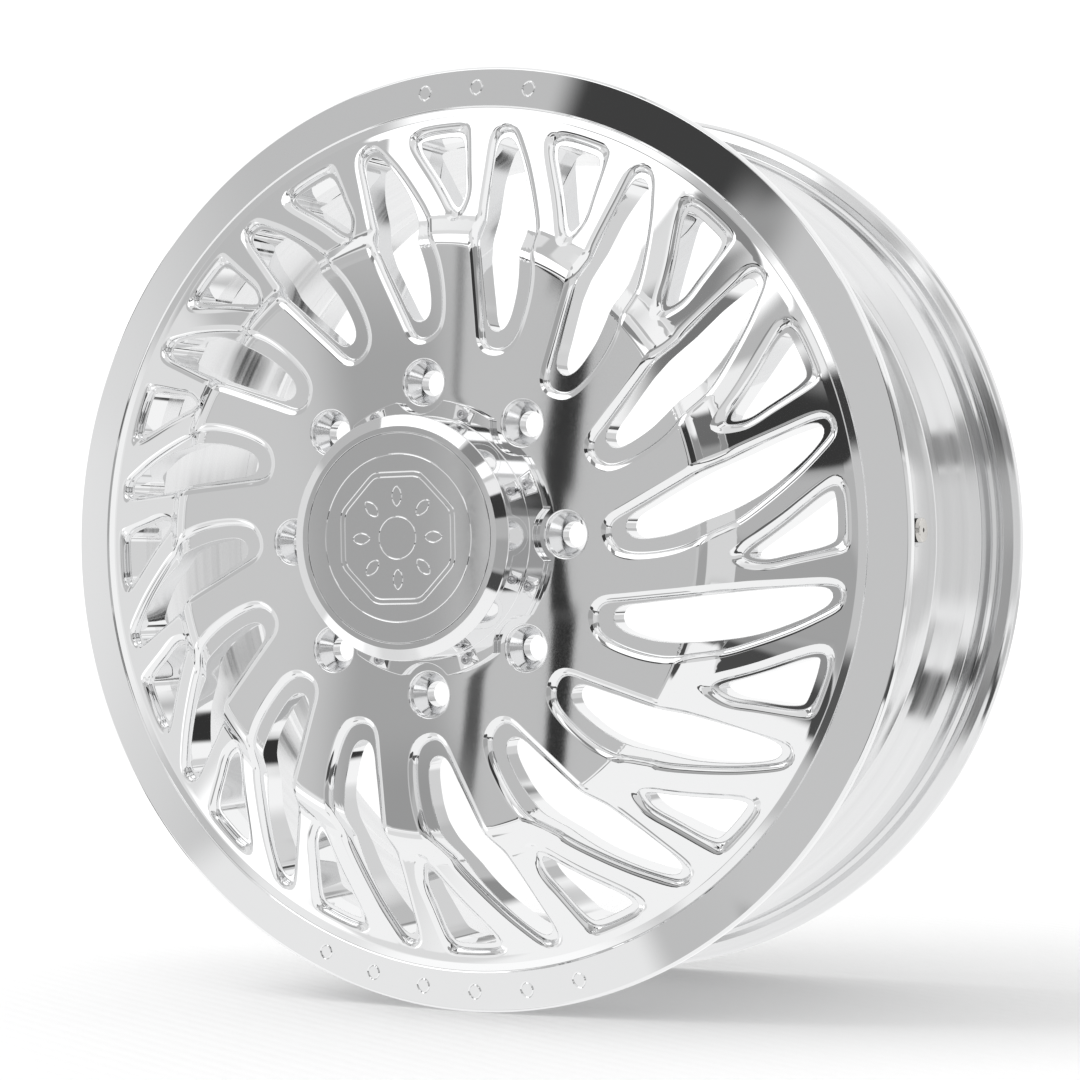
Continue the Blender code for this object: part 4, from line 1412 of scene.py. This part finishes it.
# the studio: white all round, mid grey in front, an overhead softbox, black and grey flags,
# a pale floor
level = mix(wmath("ADD", 1.02, 0.0), 0.81, wstep(wmath("ABSOLUTE", wmath("ADD", AZ, 30.0)), 60.0, 85.0, 1.0, 0.0))
level = mix(level, 0.57, wstep(wmath("ABSOLUTE", wmath("ADD", AZ, 24.0)), 17.0, 27.0, 1.0, 0.0))
level = flag(level, [(-16, 16), (-16, -18), (-7, -20), (-3, -10), (-3, 12), (-9, 19)], 0.61, 2.5)
# upper left: a grey wall beside the overhead softbox
level = flag(level, [(-36, 24), (-57, 48), (-88, 42), (-74, 19), (-50, 15), (-40, 20)], 0.55, 2.0)
level = flag(level, [(-38.7, 25.5), (-12.8, 22.2), (-4.2, 34), (0.5, 41), (2, 52), (-10, 66), (-50, 66), (-62, 54), (-55.5, 44.5)], 1.4, 0.6)
# upper right: grey, white, pale and black fans
level = flag(level, [(-12.8, 22.2), (-9.0, 19.0), (13.0, 32.5), (11.0, 36.0), (0.5, 38.0), (-4.2, 34.0)], 0.27, 0.9)
level = flag(level, [(-9.0, 19.0), (-6.2, 15.2), (17.0, 27.2), (19.0, 33.5), (13.0, 32.5)], 1.35, 0.5)
level = flag(level, [(-6.3, 15.4), (-5.2, 14.2), (17.5, 25.2), (17.5, 27.6)], 0.66, 0.4)
level = flag(level, [(-5.2, 14.2), (-2.4, 11.0), (20.0, 18.8), (30.0, 24.0), (17.5, 25.2)], 0.95, 0.5)
level = flag(level, [(-1.8, 5.2), (24.5, 8.8), (60.0, 12.0), (120.0, 12.0), (120.0, -12.5), (60.0, -12.5), (25.0, -14.0), (10.0, -12.2), (-3.8, -8.0)], 0.50, 0.6)
level = flag(level, [(-2.5, -1.0), (40.0, 0.0), (40.0, -13.5), (25.0, -14.0), (10.0, -12.2), (-3.8, -8.0)], 0.40, 1.4)
level = flag(level, [(40.0, 12.0), (125.0, 12.0), (125.0, -12.5), (40.0, -12.5)], 0.74, 3.0)
level = flag(level, [(19.0, 18.5), (23.0, 8.0), (27.5, 9.5), (26.5, 16.0), (20.5, 23.5)], 0.24, 1.2)
level = flag(level, [(-2.6, 11.2), (-1.6, 5.4), (24.5, 8.7), (24.6, 13.5), (20.8, 19.2)], 0.042, 0.5)
level = flag(level, [(27.0, 9.5), (28.0, 19.0), (60.0, 25.0), (60.0, 13.0)], 0.30, 1.0)
level = flag(level, [(60.0, 13.0), (122.0, 13.0), (122.0, 19.0), (60.0, 26.0)], 0.34, 1.2)
level = flag(level, [(108.0, 12.0), (112.5, 12.0), (118.0, 32.0), (111.0, 33.0)], 0.24, 1.2)
level = flag(level, [(98.0, 20.0), (104.0, 24.0), (111.0, 14.0), (109.0, 12.5)], 0.34, 1.0)
# lower right: a dark grey flag
level = flag(level, [(16.0, -13.0), (23.0, -13.2), (24.0, -19.0), (19.5, -25.0), (15.0, -22.0)], 0.30, 1.2)
level = flag(level, [(-3.9, -8.2), (9.5, -12.2), (20.6, -14.4), (21.2, -22.8), (9.5, -20.0), (-4.1, -12.5)], 0.072, 0.5)
level = flag(level, [(24.0, -14.5), (60.0, -16.0), (60.0, -27.0), (24.0, -19.0)], 0.13, 0.8)
level = flag(level, [(100.0, -17.0), (116.0, -16.0), (116.0, -24.0), (100.0, -24.0)], 0.60, 1.5)
level = flag(level, [(60.0, -21.0), (120.0, -25.5), (123.0, -34.0), (104.0, -34.0), (60.0, -28.0)], 0.075, 1.1)
level = flag(level, [(104.0, 20.0), (112.0, 20.0), (131.0, 47.0), (120.0, 49.0), (107.0, 30.0)], 0.60, 2.0)
level = flag(level, [(61.0, 22.5), (69.0, 22.5), (69.0, 31.0), (61.0, 31.0)], 0.16, 1.0)
# the pale floor, with a brighter patch lower left
level = flag(level, [(-46, -13.0), (-40, -12.0), (-21.5, -12.5), (-19.3, -22.0), (-46, -22.0)], 0.90, 1.0)
level = card(level, -18.8, -12.2, 2.6, 2.9, 0.97, 0.0, (0.7, 0.7))
level = card(level, -54.5, -2.0, 4.5, 9.0, 0.89, 0.0, (2.0, 2.0))
level = flag(level, [(-110, -21.0), (-20, -21.0), (-20, -95), (-110, -95)], 1.0, 0.8)
level = flag(level, [(-22, -21.0), (-13, -19.0), (120, -33.5), (120, -95), (-22, -95)], 1.0, 0.8)
level = flag(level, [(-13.5, -19.5), (-4.1, -12.6), (19.5, -24.8), (-13.5, -24.8)], 1.0, 0.6)
level = flag(level, [(-43, -24), (-31, -22), (-31, -43), (-52, -43), (-54, -33)], 0.80, 2.5)
level = flag(level, [(-78, -22), (-58, -15.5), (-50, -16.5), (-42, -25), (-50, -31), (-66, -34)], 1.3, 1.5)
level = flag(level, [(-46, -47), (-30, -50), (-30, -60), (-50, -60)], 0.40, 2.5)
# small things in front: the lip's dark patches, the stand, a few spots
level = flag(level, [(-25.0, 19.5), (-23.5, 25.0), (-18.0, 24.0), (-11.8, 18.6), (-12.6, 15.8), (-18.5, 17.4)], 0.055, 1.1)
level = flag(level, [(-14.5, 17.5), (-12.0, 16.0), (-12.2, 11.0), (-14.0, 10.5), (-15.0, 14.5)], 0.34, 0.9)
level = card(level, -14.6, -17.6, 0.8, 1.0, 0.13, 0.0, (0.5, 0.5))
level = card(level, -26.3, -10.2, 1.2, 1.9, 0.10, 0.0, (0.6, 0.6))
level = card(level, -35.4, 0.0, 2.1, 8.8, 0.635, 0.0, (1.0, 0.8))
level = card(level, -30.9, 0.0, 1.7, 8.0, 0.41, 0.0, (0.7, 2.0))
level = card(level, -36.5, -9.5, 2.0, 4.0, 0.92, 0.0, (1.2, 1.2))
level = card(level, -28.8, 4.5, 0.12, 5.0, 0.27, 0.0, (0.1, 1.5))
level = card(level, -28.72, -4.9, 0.24, 2.6, 0.090, -14.0, (0.10, 0.7))
level = card(level, -25.58, 5.2, 0.42, 2.9, 0.030, 0.0, (0.09, 0.5))
level = card(level, -25.60, 0.8, 0.27, 2.2, 0.030, 0.0, (0.08, 0.5))
level = card(level, -25.3, 10.0, 0.40, 2.4, 0.034, -16.0, (0.10, 0.6))
level = card(level, -25.98, -3.2, 0.27, 2.2, 0.032, -13.0, (0.08, 0.5))
level = card(level, -30.4, -6.6, 1.5, 1.8, 0.35, 0.0, (0.7, 0.8))
level = card(level, -43.2, 0.0, 1.4, 9.0, 1.0, 0.0, (1.0, 2.0))
level = card(level, 18.2, 27.5, 2.2, 3.4, 0.52, 0.0, (0.8, 0.8))
level = card(level, -25.0, 15.6, 7.0, 1.3, 1.25, -4.0, (1.0, 0.6))
level = card(level, -26.0, -14.3, 8.0, 1.1, 1.1, 0.0, (1.0, 0.5))
level = card(level, -15.8, 8.4, 1.6, 2.6, 1.25, 0.0, (0.7, 0.8))
level = card(level, -13.8, 5.4, 1.6, 1.4, 0.05, 0.0, (0.4, 0.4))
level = card(level, -14.6, -5.2, 1.3, 1.9, 0.10, 0.0, (0.5, 0.6))
# behind the wheel, seen through its openings
level = card(level, 149.0, 1.0, 8.0, 12.0, 0.72, 0.0, (3.0, 3.0))
level = card(level, 158.0, 18.0, 6.0, 9.0, 0.56, 0.0, (2.0, 2.0))
level = card(level, 160.0, -8.0, 6.0, 4.0, 0.70, 0.0, (2.0, 2.0))
level = flag(level, [(154.2, -20.8), (157.5, -21.5), (161.8, -25.0), (161.2, -30.0), (157.0, -29.5), (153.4, -25.5)], 0.035, 1.1)
level = card(level, 151.0, 17.4, 1.2, 3.3, 0.09, -20.0, (0.4, 0.8))
level = card(level, 147.5, 1.0, 0.3, 5.5, 0.40, 0.0, (0.3, 1.0))
level = card(level, 165.0, -20.8, 2.6, 0.9, 0.09, -28.0, (0.5, 0.4))
level = card(level, 170.0, -22.0, 3.2, 1.4, 0.20, -20.0, (0.8, 0.5))
level = card(level, 178.0, -32.5, 9.0, 1.6, 0.62, 0.0, (2.0, 0.6))
level = card(level, -178.0, -27.4, 2.6, 1.1, 0.25, 0.0, (0.6, 0.5))
level = card(level, 165.0, 25.5, 5.0, 1.2, 0.30, 15.0, (1.0, 0.6))
level = card(level, -152.0, 8.0, 1.2, 4.0, 0.35, 0.0, (0.6, 1.0))
# the left side of the room, seen from other sides and in the walls of the openings
level = card(level, -112.0, 17.0, 20.0, 3.2, 0.16, 6.0, (3.0, 0.8))
level = card(level, -116.0, -17.0, 22.0, 3.4, 0.10, -6.0, (3.0, 0.8))
level = card(level, -98.0, 46.0, 10.0, 4.0, 0.30, 12.0, (2.0, 1.2))
level = card(level, 54.0, 56.0, 8.0, 6.0, 0.55, 0.0, (2.0, 2.0))
bg_look = wt.nodes.new("ShaderNodeBackground")
wt.links.new(level, bg_look.inputs[1])
bg_look.inputs[0].default_value = (1.0, 1.0, 1.0, 1)
bg_soft = wt.nodes.new("ShaderNodeBackground")
bg_soft.inputs[0].default_value = (1.0, 1.0, 1.0, 1)
bg_soft.inputs[1].default_value = 0.93
bg_view = wt.nodes.new("ShaderNodeBackground")
bg_view.inputs[0].default_value = (1.0, 1.0, 1.0, 1)
bg_view.inputs[1].default_value = 1.2
lp = wt.nodes.new("ShaderNodeLightPath")
pick = wt.nodes.new("ShaderNodeMixShader")
wt.links.new(lp.outputs["Is Glossy Ray"], pick.inputs[0])
wt.links.new(bg_soft.outputs[0], pick.inputs[1])
wt.links.new(bg_look.outputs[0], pick.inputs[2])
pick2 = wt.nodes.new("ShaderNodeMixShader")
wt.links.new(lp.outputs["Is Camera Ray"], pick2.inputs[0])
wt.links.new(pick.outputs[0], pick2.inputs[1])
wt.links.new(bg_view.outputs[0], pick2.inputs[2])
wout = wt.nodes.new("ShaderNodeOutputWorld")
wt.links.new(pick2.outputs[0], wout.inputs[0])

sun_data = bpy.data.lights.new("key", "SUN")
sun_data.energy = 0.95
sun_data.angle = math.radians(38)
sun = bpy.data.objects.new("key", sun_data)
scene.collection.objects.link(sun)
sun_dir = Vector((0.888 * 0.80 + 0.459 * 0.10, 0.459 * 0.80 - 0.888 * 0.10, -1.0)).normalized()
sun.rotation_euler = sun_dir.to_track_quat("-Z", "Y").to_euler()
sun.visible_glossy = False

# pale floor with fine ribs
FLOOR_Z = -0.3245
me = bpy.data.meshes.new("floor")
me.from_pydata([(-8, -8, FLOOR_Z), (8, -8, FLOOR_Z), (8, 8, FLOOR_Z), (-8, 8, FLOOR_Z)], [], [(0, 1, 2, 3)])
floor = bpy.data.objects.new("floor", me)
scene.collection.objects.link(floor)
fm, fnodes, flinks, fb = new_material("floor")
fb.inputs["Roughness"].default_value = 0.9
fb.inputs["Specular IOR Level"].default_value = 0.1
ftex = put(fnodes, flinks, "ShaderNodeTexCoord")
fmap = put(fnodes, flinks, "ShaderNodeMapping", Rotation=(0.0, 0.0, math.radians(27.3)))
flinks.new(ftex.outputs["Object"], fmap.inputs["Vector"])
frib = put(fnodes, flinks, "ShaderNodeTexWave", Scale=26.0, Distortion=0.6)
frib.bands_direction = "Y"
flinks.new(fmap.outputs[0], frib.inputs["Vector"])
fcloud = put(fnodes, flinks, "ShaderNodeTexNoise", Scale=1.6, Detail=2.0)
flinks.new(ftex.outputs["Object"], fcloud.inputs["Vector"])
flinks.new(tone(fnodes, flinks, fcloud.outputs["Fac"], (0.925, 0.925, 0.925), (0.95, 0.95, 0.95)), fb.inputs["Base Color"])
fbump = put(fnodes, flinks, "ShaderNodeBump", Strength=0.10, Distance=0.002)
flinks.new(frib.outputs["Fac"], fbump.inputs["Height"])
flinks.new(fbump.outputs[0], fb.inputs["Normal"])
me.materials.append(fm)
floor.visible_glossy = False

cam_data = bpy.data.cameras.new("camera")
cam_data.sensor_width = 36.0
cam_data.lens = 36.0 * 2650.0 / 1080.0
cam_data.clip_start = 0.05
cam_data.clip_end = 50.0
cam = bpy.data.objects.new("camera", cam_data)
scene.collection.objects.link(cam)
eye = Vector((0.8849612, -1.59421481 - 0.0769, -0.0341764))
right = Vector((0.88805725, 0.45938694, -0.01783124))
up = Vector((0.02400989, -0.00761138, 0.99968275))
fwd = Vector((-0.45910548, 0.88820364, 0.01778917))
M = Matrix.Identity(4)
for i in range(3):
    M[i][0], M[i][1], M[i][2], M[i][3] = right[i], up[i], -fwd[i], eye[i]
cam.matrix_world = M
scene.camera = cam
